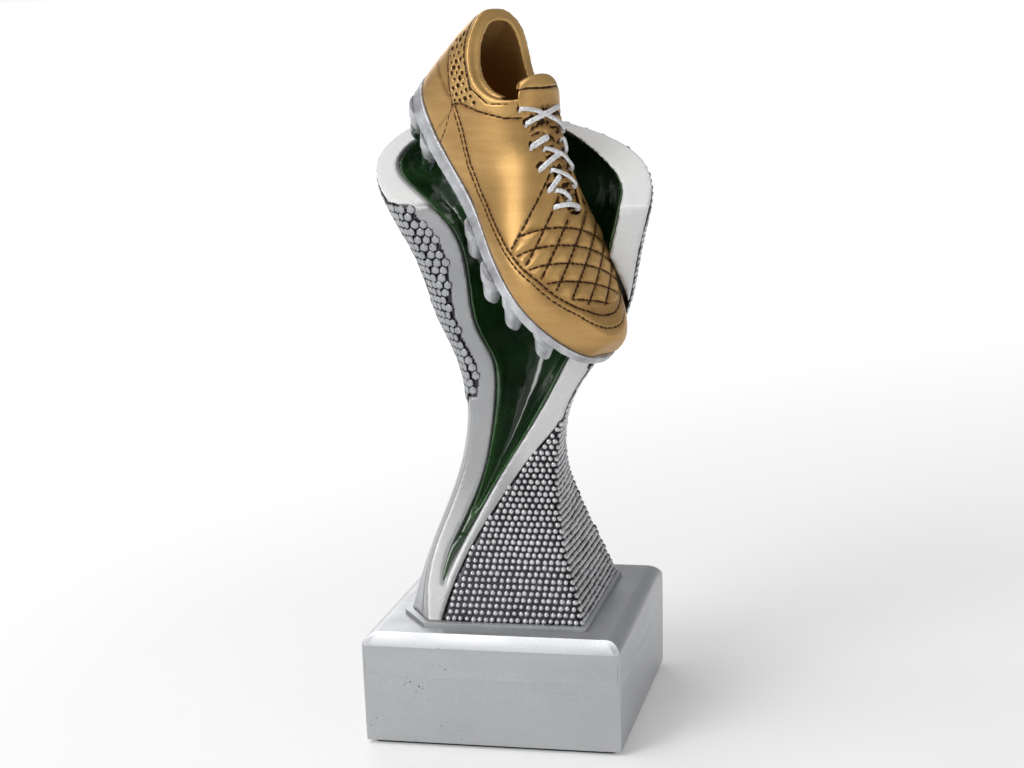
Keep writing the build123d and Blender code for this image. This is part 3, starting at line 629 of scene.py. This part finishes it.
def ribbon(name, path, widths, thickness, face, sides=12):
    """A flattened cord along a path in metres, from its half widths and the way its flat side looks."""
    points, faces = [], []
    for index, here in enumerate(path):
        ahead = path[min(index + 1, len(path) - 1)] - path[max(index - 1, 0)]
        ahead = ahead / np.linalg.norm(ahead)
        sideways = np.cross(face, ahead)
        sideways /= np.linalg.norm(sideways)
        over = np.cross(ahead, sideways)
        for side in range(sides):
            turn = 2 * math.pi * side / sides
            round_it = sideways * math.cos(turn) + over * thickness * math.sin(turn)
            points.append(here + widths[index] * round_it)
    for low in range(0, (len(path) - 1) * sides, sides):
        for side in range(sides):
            nxt = (side + 1) % sides
            faces.append((low + side, low + nxt, low + sides + nxt, low + sides + side))
    faces.append(tuple(range(sides))[::-1])
    faces.append(tuple((len(path) - 1) * sides + side for side in range(sides)))
    mesh = bpy.data.meshes.new(name)
    mesh.from_pydata([tuple(q) for q in points], [], faces)
    piece = bpy.data.objects.new(name, mesh)
    bpy.context.collection.objects.link(piece)
    return piece


def finish_smooth(pieces, name):
    """Joins pieces into one smooth piece with its faces turned outward."""
    join_all(pieces)
    pieces[0].name = name
    bpy.ops.object.shade_smooth()
    bpy.ops.object.mode_set(mode="EDIT")
    bpy.ops.mesh.select_all(action="SELECT")
    bpy.ops.mesh.normals_make_consistent(inside=False)
    bpy.ops.object.mode_set(mode="OBJECT")
    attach(pieces[0], "root")
    return pieces[0]


# the enamel runs out in a fine point down the groove at the bottom of the scoop
POINT_OF_ENAMEL = [(-10.6, -13.9, 49.8, 1.3), (-11.5, -14.9, 48.3, 1.2), (-12.9, -16.0, 46.6, 1.05),
                   (-13.55, -16.8, 45.0, 0.9), (-14.1, -17.8, 43.2, 0.75), (-14.45, -18.7, 41.8, 0.6),
                   (-14.62, -19.5, 40.5, 0.42), (-14.8, -20.3, 39.2, 0.16)]
drip = ribbon("enamel_point", [np.array(spot[:3]) / 1000 for spot in POINT_OF_ENAMEL],
              [spot[3] / 1000 for spot in POINT_OF_ENAMEL], 0.5, np.array([0, -0.86, 0.5]))
drip = finish_smooth([drip], "enamel_point")
paint_value(drip, "thin", np.full(len(drip.data.vertices), 0.8))
drip.data.materials.append(green)

# ---------- boot upper ----------
# The little football boot is its own casting, sprayed gold. Its stitching, perforated heel and quilted
# forefoot are moulded in, and a brown wash wiped over it stays in every groove.
BOOT_TURN = math.radians(-31.5)
BOOT_DIP = math.radians(49.5)
BOOT_HALF = 43.25
boot_forward = np.array([math.cos(BOOT_DIP) * math.cos(BOOT_TURN), math.cos(BOOT_DIP) * math.sin(BOOT_TURN),
                         -math.sin(BOOT_DIP)])
boot_left = np.array([-math.sin(BOOT_TURN), math.cos(BOOT_TURN), 0.0])
boot_up = np.cross(boot_forward, boot_left)
boot_axes = np.stack([boot_forward, boot_left, boot_up])
boot_heel = np.array([1.9, -3.6, 128.0]) - boot_forward * BOOT_HALF


def to_boot(spots):
    """Positions in metres as millimetres along, to the left of and above the boot's own heel."""
    return (spots * 1000 - boot_heel) @ boot_axes.T


def from_boot(places):
    """Places on the boot in millimetres as positions in metres."""
    return (np.asarray(places, dtype=float) @ boot_axes + boot_heel) / 1000


def line_value(x, knots):
    """Straight-line interpolation through a short list of knots."""
    return np.interp(x, [k[0] for k in knots], [k[1] for k in knots])


def sole_top(along):
    """Height of the top of the sole above the boot's datum."""
    return 4.6 - 2.4 * along / 86.5


def settle(places):
    """Tucks the heel end up from below and draws the toe in on its left side, as on the finished boot."""
    moved = places.copy()
    heel = np.clip((19 - places[:, 0]) / 19, 0, 1) ** 1.4
    low = 1 - np.clip((places[:, 2] - 3) / 15, 0, 1)
    moved[:, 2] += 3.6 * heel * low
    toe = np.clip((places[:, 0] - 48) / 26, 0, 1)
    moved[:, 1] *= np.where(places[:, 1] > 0, 1 - 0.15 * toe * toe * (3 - 2 * toe), 1)
    return moved


WELT = [(17, 10.6), (22.5, 9.1), (30.7, 5.8), (37.1, 4.6), (45.7, 5.2), (55.4, 5.8), (61.2, 6.7), (66.5, 7.9),
        (72, 8.4), (77.7, 9.2), (81, 9.2)]
HEEL_BAND = [(0, 18.5), (5, 15.9), (8.2, 14.2), (12.3, 11.7), (15.5, 10.2), (17.2, 12.7), (22.2, 15.9),
             (25.4, 18.3), (28, 20.2), (30.7, 23.3)]
TOPLINE = [(-1.5, 33.2), (2.5, 31.6), (9, 26.8), (16.5, 23.4), (22.5, 24.8), (26.5, 29), (28.5, 36)]
CHEVRON = [(0.5, 19.5), (4.1, 18.6), (10.2, 15.5)]


def gap_to(field, places, normals):
    """Distance along the skin from each place to where a field is zero."""
    value = field(places)
    step = 0.05
    slope = np.stack([(field(places + step * np.eye(3)[axis]) - value) / step for axis in range(3)], axis=1)
    slope -= (slope * normals).sum(axis=1)[:, None] * normals
    return np.abs(value) / np.maximum(np.linalg.norm(slope, axis=1), 0.2), value


def above_sole(p):
    """Height above the top of the sole."""
    return p[:, 2] - sole_top(p[:, 0])


upper = take_casting("boot_upper", "boot_upper_cast")
join_all([upper, take_casting("boot_collar", "collar_part")])
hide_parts("boot_upper", "boot_collar")
even_skin(upper, cell=0.00034, rounds=6)
toe_end = upper.vertex_groups.new(name="toe_end")
for index, spot in enumerate(to_boot(read_points(upper)[0])):
    toe_end.add([index], float(np.clip((spot[0] - 78) / 4, 0, 1)), "REPLACE")
rounder = upper.modifiers.new("rounder", "SMOOTH")
rounder.vertex_group = "toe_end"
rounder.factor = 0.5
rounder.iterations = 30
apply_modifiers(upper)
spots, normals = read_points(upper)
p = to_boot(spots)
n = normals @ boot_axes.T
u, v, w = p.T
height = above_sole(p)
middle = np.stack([np.clip(u, 12, 70), np.zeros_like(u), np.full_like(u, 8.0)], axis=1)
outside = ((p - middle) * n).sum(axis=1) > 0
around = 13 * np.arctan2(w - 6, v)
along = np.where(u < 70, u, 70 + 14 * np.arctan2(u - 70, np.abs(v) + 0.01))
groove = np.zeros_like(u)
wash = np.zeros_like(u)


def stitch(gap, run, length, width, mask, depth=0.16, ink=1.0):
    """Presses a row of stitches into the skin: a shallow groove, with deeper dark dashes along it."""
    dash = np.clip((np.abs((run / length) % 1 - 0.5) * 2 - 0.18) * 6, 0, 1)
    trench = np.exp(-(gap / width) ** 2) * mask
    np.maximum(groove, trench * (0.45 + 0.55 * dash) * depth, out=groove)
    np.maximum(wash, trench * (0.40 + 0.60 * dash) * ink, out=wash)


welt_gap, welt_side = gap_to(lambda q: above_sole(q) - line_value(q[:, 0], WELT), p, n)
low_gap, _ = gap_to(lambda q: above_sole(q) - line_value(q[:, 0], WELT) + 1.05, p, n)
on_welt = outside & (u > 16.5)
stitch(welt_gap, along, 1.5, 0.27, on_welt, 0.2)
stitch(low_gap, along + 0.7, 1.5, 0.24, on_welt & (u > 17.5), 0.16, 0.9)
band_gap, band_side = gap_to(lambda q: above_sole(q) - line_value(q[:, 0], HEEL_BAND), p, n)
stitch(band_gap, along, 1.35, 0.26, outside & (u < 30.7) & (height > 9), 0.15, 0.95)
edge_gap_top, _ = gap_to(lambda q: q[:, 2] - line_value(q[:, 0], TOPLINE) + 2.1, p, n)
stitch(edge_gap_top, along, 1.5, 0.22, outside & (u < 17) & (u > 0.5), 0.10, 0.75)
chevron_gap, _ = gap_to(lambda q: q[:, 0] - line_value(above_sole(q), CHEVRON), p, n)
on_chevron = outside & (height < 10.2) & (height > 0.4) & (np.abs(u - 17.5) < 4)
stitch(chevron_gap, w, 1.6, 0.22, on_chevron, 0.12, 0.8)

# quilting of the forefoot: two families of lines crossing, with a pillow raised in every cell
slant = u + 0.97 * v
past_vamp = outside & (welt_side > 0.7) & (slant > 39.9)
quilt = past_vamp & ((v < 0) | (u > 54 + 0.15 * np.abs(v)))
FAR = 9.0
FIRST_SLANT = 40.5
SLANT_PITCH = 6.12
slant_gap = np.full_like(u, FAR)
cross_gap = np.full_like(u, FAR)
for index in range(8):
    place = FIRST_SLANT + SLANT_PITCH * index
    gap, _ = gap_to(lambda q: q[:, 0] + 0.97 * q[:, 1] - place, p, n)
    slant_gap = np.minimum(slant_gap, gap)
for place in (59.2, 63.5, 67.9, 72.3, 76.7):
    gap, _ = gap_to(lambda q: q[:, 0] - 0.3 * q[:, 1] - place, p, n)
    cross_gap = np.minimum(cross_gap, gap)
cell_gap = np.minimum(np.where(slant > FIRST_SLANT, slant_gap, FAR), cross_gap)
throat_half = 5.4 - 2.8 * np.clip((u - 24) / 29.5, 0, 1)
front_line = quilt | (past_vamp & (v < -3.2) & (slant < 41))
stitch(slant_gap, around, 1.35, 0.30, front_line & ((u > 56.0) | (np.abs(v) > throat_half + 0.9)), 0.17)
stitch(cross_gap, around + 0.6, 1.35, 0.28, quilt & (slant > 40.6), 0.15, 0.95)
pillow = np.where(quilt & (slant > 40.6), 1 - np.exp(-(cell_gap / 1.1) ** 2), 0)
pillow *= np.clip(welt_side / 1.6, 0, 1)
pillow *= np.clip((u - 52) / 6, 0, 1) * 0.8 + 0.2

# perforations of the heel, in staggered rows between the band's seam and the topline
DOT_PITCH = 1.8
DOT_ROW = 0.87 * DOT_PITCH
row = np.round((height - 10) / DOT_ROW)
shift = np.where(row % 2 == 0, 0.0, 0.5) * DOT_PITCH
dot_u = np.round((u - shift) / DOT_PITCH) * DOT_PITCH + shift
dot_h = row * DOT_ROW + 10
wander = 0.28 * np.sin(dot_u * 7.3 + dot_h * 3.1)
dot_gap = np.hypot(u - dot_u - wander, height - dot_h + 0.5 * wander)
below_top = line_value(u, TOPLINE) - w
with_dots = outside & (u > 3.0) & (u < 20.5) & (band_side > 0.9) & (below_top > 2.9)
dot_size = 0.60 + 0.12 * np.sin(dot_u * 5.1 + dot_h * 2.3)
dot = np.where(with_dots, np.clip((dot_size - dot_gap) / 0.22, 0, 1), 0)
groove = np.maximum(groove, 0.34 * dot)
wash = np.maximum(wash, dot)

# raised heel band, rounded mudguard edge, and brown painted shade in the corner against the sole and in the
# throat
band_lift = np.where(outside & (u < 31), np.clip(band_side / 0.5, 0, 1), 0) * 0.16
guard_lift = np.where(on_welt, np.clip(-welt_side / 0.7, 0, 1) * np.clip(height / 1.2, 0, 1), 0) * 0.14
sole_corner_shade = np.where(outside, np.clip((0.55 - height) / 0.5, 0, 1), 0)
lip_seam = np.where(outside & (u < 26), np.exp(-((below_top - 1.7) / 0.25) ** 2), 0)
EYELETS = [(28, 6.6), (31.2, 5.9), (36.5, 5.6), (42, 5.8), (47.6, 5.2), (52.2, 4.9)]
on_top = outside & (w > 15)
for eyelet_u, eyelet_v in EYELETS:
    for side in (-1, 1):
        ring = np.hypot(u - eyelet_u, v - side * eyelet_v)
        groove = np.maximum(groove, 0.45 * np.exp(-(ring / 0.75) ** 2) * on_top)
        wash = np.maximum(wash, 0.9 * np.exp(-((ring - 0.5) / 0.5) ** 2) * on_top)
throat_shade = (u > 25) & (u < 55) & (np.abs(v) < throat_half + 0.4) & ~outside
# the corner against the sole and the throat get painted shade, carried in the same wash as the grooves
wash = np.maximum(wash, 0.8 * sole_corner_shade)
wash = np.maximum(wash, 0.75 * lip_seam)
wash = np.maximum(wash, 0.7 * throat_shade)
slow = np.array([noise.noise(Vector(spot) * 55) for spot in spots])
offset = band_lift + guard_lift + 0.45 * pillow - groove - 0.12 * lip_seam + 0.10 * slow * outside
move_points(upper, from_boot(settle(p + n * offset[:, None])))
near_line = np.minimum(np.minimum(welt_gap, cell_gap + ~quilt * FAR), band_gap + (u > 30.7) * FAR)
line_halo = np.exp(-(near_line / 0.8) ** 2)
paint_value(upper, "wash", wash)
paint_value(upper, "halo", line_halo * outside)
# painted highlight on the crowns of the pillows and on the raised heel band
paint_value(upper, "painted_highlight", np.clip(pillow * 0.6 + band_lift * 3.2, 0, 1))
# painted shade inside the mouth, darker the deeper below the topline, with painted light on one side wall
# near the heel
depth = np.clip((line_value(u, TOPLINE) - w - 0.8) / 14, 0, 0.7)
painted_light_side = 0.35 * np.exp(-((u - 12) / 6) ** 2) * (v < 0)
paint_value(upper, "inside", np.where(outside, 0, np.clip(depth - painted_light_side, 0, 1)))

# the lining is plain, so it is left with larger faces than the worked skin
lining_wall = upper.vertex_groups.new(name="lining_wall")
lining_wall.add([int(index) for index in np.flatnonzero(~outside)], 1.0, "REPLACE")
thinner = upper.modifiers.new("thinner", "DECIMATE")
thinner.vertex_group = "lining_wall"
thinner.ratio = 0.70
apply_modifiers(upper)


def gold_paint(name):
    """Gold lacquer with a brown wash, a painted highlight on the crowns and painted shade in the mouth; reads
    what the casting stores.
    """
    material, tree, shader, coords, spray = lacquered(
        name, (0.45, 0.262, 0.088), (0.05, 0.02, 0.005), 0.04, 0.1, 0.38, 0.70, 0.05, 0.0)
    rubbed = noise_of(tree, coords, 60, 4.0, (1, 1, 9))
    brushed = mix_color(tree, spread(tree, rubbed, 0.40, 0.70, 0, 0.45),
                        (0.45, 0.262, 0.088, 1), (0.58, 0.37, 0.145, 1))
    # the crowns are painted a lighter gold as a highlight
    crown = calc(tree, "MULTIPLY", attribute_of(tree, "painted_highlight"), 0.45)
    brushed_with_painted_highlight = mix_color(tree, crown, brushed, (0.74, 0.47, 0.17, 1))
    blotch = spread(tree, noise_of(tree, coords, 520, 3.0), 0.35, 0.7, 0.25, 1.0)
    stain = calc(tree, "MULTIPLY", calc(tree, "MULTIPLY", attribute_of(tree, "halo"), blotch), 0.85)
    haloed = mix_color(tree, stain, brushed_with_painted_highlight, (0.20, 0.085, 0.018, 1))
    # the inside attribute carries painted shade into the mouth
    painted_shade_hollow = mix_color(tree, attribute_of(tree, "inside"), haloed, (0.36, 0.165, 0.045, 1))
    torn = calc(tree, "ADD", attribute_of(tree, "wash"),
                spread(tree, noise_of(tree, coords, 900), 0.3, 0.7, -0.22, 0.12))
    inked = spread(tree, torn, 0.16, 0.5)
    tree.links.new(mix_color(tree, inked, painted_shade_hollow, (0.040, 0.018, 0.007, 1)), spray.inputs["Colour"])
    tree.links.new(spread(tree, inked, 0, 1, 0.66, 0.0), shader.inputs["Metallic"])
    tree.links.new(spread(tree, inked, 0, 1, 0.5, 0.05), shader.inputs["Specular IOR Level"])
    return material


gold = gold_paint("gold_paint")
upper.data.materials.append(gold)

# ---------- insole ----------
# The insole is moulded in one with the upper; it is gold near the heel and goes brown as it runs down into
# the toe: painted shade, deeper the further it runs in under the upper.
insole = take_casting("boot_insole", "insole_bed")
even_skin(insole, cell=0.00038, rounds=4)
spots, normals = read_points(insole)
zeros = np.zeros(len(spots))
for label in ("wash", "halo", "painted_highlight"):
    paint_value(insole, label, zeros)
# painted shade, darker the further the insole runs in under the upper
paint_value(insole, "inside", np.clip(0.25 + (to_boot(spots)[:, 0] - 10) / 22, 0, 0.85))
insole.data.materials.append(gold)

# ---------- boot tongue ----------
# Gold tongue lying in the throat under the laces, wrinkled across, with a rolled top edge that stands out
# of the mouth.
BOOT_ROOF = [(0.4, 21), (1.8, 33.5), (13, 35), (22, 33.6), (31, 29.3), (40, 25.6), (50, 21.9), (60, 18.2)]
TONGUE_ROWS = [(54, 2.9, -1.3), (50, 3.7, -1.2), (46, 4.4, -1.1), (42, 4.9, -1.1), (38, 5.3, -1.1),
               (34, 5.7, -1.0), (31, 6.3, -0.8), (28.6, 7.0, -0.3), (26.6, 7.3, 0.3), (25, 7.0, 0.8),
               (23.9, 6.4, 0.9), (23.1, 5.9, 0.5), (22.7, 5.6, -0.2), (22.8, 5.5, -1.0),
               (23.3, 5.4, -1.7)]
TONGUE_COLS = 15
rows = []
for row_u, half, lift in TONGUE_ROWS:
    for col in range(TONGUE_COLS):
        side = 2 * col / (TONGUE_COLS - 1) - 1
        drop = (1.5 + 0.9 * (row_u < 29)) * side * side + 0.6 * abs(side) ** 5
        rows.append((row_u, side * half, line_value(row_u, BOOT_ROOF) + lift - drop))
mesh = bpy.data.meshes.new("tongue")
corners = [r * TONGUE_COLS + c for r in range(len(TONGUE_ROWS) - 1) for c in range(TONGUE_COLS - 1)]
quads = [(first, first + 1, first + TONGUE_COLS + 1, first + TONGUE_COLS) for first in corners]
mesh.from_pydata([tuple(q) for q in from_boot(rows)], [], quads)
tongue = bpy.data.objects.new("tongue", mesh)
bpy.context.collection.objects.link(tongue)
thick = tongue.modifiers.new("thick", "SOLIDIFY")
thick.thickness = 0.0009
thick.offset = 0
round_off = tongue.modifiers.new("round", "SUBSURF")
round_off.levels = 3
apply_modifiers(tongue)
finish_smooth([tongue], "tongue")
spots, normals = read_points(tongue)
p = to_boot(spots)
u, v, w = p.T
folds = np.array([noise.noise(Vector((q[0] * 0.95, q[1] * 0.28 + 0.25 * math.sin(q[0]), 3.0))) for q in p])
cords = np.array([noise.noise(Vector((q[0] * 1.9, q[1] * 0.9, 8.0))) for q in p])
worn = np.clip((u - 28.5) / 3, 0, 1)
roll_seam = np.exp(-((u - 26.2 + 0.03 * v * v) / 0.22) ** 2) * (w > 28)
offset = (0.42 * folds + 0.2 * cords) * worn - 0.16 * roll_seam
move_points(tongue, spots + normals * (offset / 1000)[:, None])
valleys = np.clip(-(folds + 0.6 * cords) * 2.2 + 0.15, 0, 1) * worn
paint_value(tongue, "wash", np.clip(valleys + 0.95 * roll_seam, 0, 1))
paint_value(tongue, "halo", worn * 0.6)
# painted highlight on the crests of the folds and along the rolled top edge
paint_value(tongue, "painted_highlight", np.clip(folds * 2.0, 0, 1) * worn + np.exp(-((u - 24) / 1.2) ** 2) * 0.4)
# painted shade on the tongue where it goes down into the mouth
paint_value(tongue, "inside", np.clip((29.2 - w) / 6, 0, 1) * (u < 26) * 0.6)
tongue.data.materials.append(gold)
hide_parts("boot_tongue")

# ---------- laces ----------
# Thick silver-white laces moulded on the tongue and picked out by brush: three crossings, short end loops
# and a straight bar at the bottom. Both ends of each strand go down into the eyelets.
LACE_RUNS = [
    ("lace_cross_1", [(28.7, -6.7, 28.2), (30.4, -4.4, 29.5), (32.0, -1.9, 29.6), (34.0, 1.5, 29.1),
                      (35.2, 4.0, 27.3)], 0.66),
    ("lace_cross_1", [(29.3, 5.2, 28.8), (30.6, 2.4, 30.0), (31.8, -1.0, 30.3), (32.1, -3.6, 29.2),
                      (32.1, -6.0, 27.0)], 0.66),
    ("lace_cross_2", [(37.0, -3.0, 27.1), (37.2, -4.5, 26.4), (37.4, -6.2, 24.7)], 0.78),
    ("lace_cross_2", [(37.6, 2.5, 26.8), (38.8, 2.9, 26.2), (40.2, 3.1, 25.0)], 0.58),
    ("lace_cross_2", [(39.1, -3.6, 25.6), (41.4, -0.2, 25.9), (43.0, 1.8, 25.0), (44.2, 3.4, 23.8)], 0.62),
    ("lace_cross_2", [(41.2, -0.7, 25.7), (42.0, -3.2, 25.0), (43.0, -6.1, 22.9)], 0.66),
    ("lace_cross_3", [(44.4, -3.6, 23.8), (46.6, -0.6, 24.1), (48.6, 2.1, 22.8)], 0.60),
    ("lace_cross_3", [(46.4, -2.7, 23.6), (47.4, -4.3, 22.7), (48.4, -5.8, 21.5)], 0.66),
    ("lace_cross_3", [(49.1, -4.1, 21.9), (50.4, -2.6, 22.3), (51.9, -1.3, 21.6)], 0.66),
    ("lace_bar", [(52.6, -5.6, 20.2), (53.2, -3.0, 21.4), (53.8, -0.8, 21.5), (54.1, 0.8, 20.9)], 0.66),
]


def smooth_path(knots, steps=8):
    """A rounded path through knots, as an array of places."""
    knots = np.asarray(knots, dtype=float)
    padded = np.vstack([2 * knots[0] - knots[1], knots, 2 * knots[-1] - knots[-2]])
    path = []
    for i in range(1, len(padded) - 2):
        a, b, c, d = padded[i - 1:i + 3]
        for step in range(steps):
            t = step / steps
            path.append(0.5 * (2 * b + (c - a) * t + (2 * a - 5 * b + 4 * c - d) * t ** 2
                               + (3 * b - a - 3 * c + d) * t ** 3))
    path.append(knots[-1])
    return np.array(path)


def strand(name, knots, width):
    """A flattened lace along a path on the boot, its ends turned down into the boot."""
    down = np.array([0, 0, -1.3])
    path = smooth_path([np.add(knots[0], down), *knots, np.add(knots[-1], down)])
    widths = [width / 1000 * (1 + 0.05 * math.sin(index * 1.7)) for index in range(len(path))]
    return ribbon(name, from_boot(path), widths, 0.6, boot_up + 0.2 * boot_forward)


lace_paint, tree, _, coords, spray = lacquered(
    "lace_paint", (0.70, 0.71, 0.73), (0.09, 0.06, 0.03), 0.12, 0.9, 0.42, 0.35, 0.5, 0.1)
fibre = noise_of(tree, coords, 1300, 4.0, (1, 3, 1))
tree.links.new(mix_color(tree, spread(tree, fibre, 0.4, 0.7), (0.58, 0.58, 0.59, 1), (0.88, 0.89, 0.91, 1)),
               spray.inputs["Colour"])
for node in ("lace_cross_1", "lace_cross_2", "lace_cross_3", "lace_bar"):
    strands = [strand(node + "_strand", knots, width) for owner, knots, width in LACE_RUNS if owner == node]
    lace = finish_smooth(strands, node + "_painted")
    lace.data.materials.append(lace_paint)
    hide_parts(node)

# ---------- sole and studs ----------
# Silver sole plate with stepped cone studs, one casting with the upper. Where they dip into the scoop the
# green enamel has crept up over them.
green_tree, _ = surface_of([enamel])
sole_silver, tree, shader, coords, spray = lacquered(
    "sole_silver", (0.50, 0.505, 0.515), (0.05, 0.05, 0.055), 0.08, 0.4, 0.36, 0.6, 0.2, 0.2)
dull = spread(tree, noise_of(tree, coords, 300), 0.35, 0.65)
plate = mix_color(tree, dull, (0.40, 0.405, 0.42, 1), (0.58, 0.585, 0.60, 1))
creep = calc(tree, "ADD", attribute_of(tree, "enamelled"),
             spread(tree, noise_of(tree, coords, 600), 0.3, 0.7, -0.3, 0.3))
dipped = spread(tree, creep, 0.42, 0.58)
tree.links.new(mix_color(tree, dipped, plate, (0.004, 0.028, 0.008, 1)), spray.inputs["Colour"])
tree.links.new(spread(tree, dipped, 0, 1, 0.6, 0.0), shader.inputs["Metallic"])
tree.links.new(calc(tree, "ADD", calc(tree, "MULTIPLY", dipped, 0.8), 0.2), shader.inputs["Coat Weight"])
STUD_ROOTS = np.array([(6.5, 6.8), (6.5, -6.8), (15.5, -7.6), (15.5, 7.2), (43, -10.2), (56, -13.6),
                       (64.5, -12), (74, -8), (49, 9), (61, 11.8), (72, 9.6)])
for node, name, cell in (("boot_sole", "sole_plate", 0.00038), ("heel_studs", "heel_stud_set", 0.00022),
                         ("forefoot_studs", "forefoot_stud_set", 0.00022)):
    plate_piece = take_casting(node, name)
    even_skin(plate_piece, cell, 2 if node == "boot_sole" else 1)
    spots, normals = read_points(plate_piece)
    p = to_boot(spots)
    channel = np.exp(-((above_sole(p) + 1.1) / 0.3) ** 2) * (node == "boot_sole")
    if node != "boot_sole":
        root_gap = np.linalg.norm(p[:, None, :2] - STUD_ROOTS[None, :, :], axis=2)
        root = STUD_ROOTS[root_gap.argmin(axis=1)]
        forefoot = node == "forefoot_studs"
        p[:, :2] = root + (p[:, :2] - root) * (1.28 if forefoot else 1.15)
        p[:, 1] += np.where(root[:, 1] < 0, -1.1 if forefoot else -1.5, 0.5)
        p[:, 2] *= np.where(p[:, 2] < 0, 1.15, 1.0)
    spots = from_boot(settle(p - (normals @ boot_axes.T) * (0.10 * channel)[:, None]))
    move_points(plate_piece, spots)
    near = np.array([green_tree.find_nearest(Vector(spot))[3] for spot in spots])
    reach = 0.0009 if node == "boot_sole" else 0.0014
    splash = np.clip((-p[:, 2] - 3.4) / 2.0, 0, 0.75) * (node == "heel_studs")
    paint_value(plate_piece, "enamelled", np.maximum(np.clip(1 - near / reach, 0, 1), splash))
    plate_piece.data.materials.append(sole_silver)
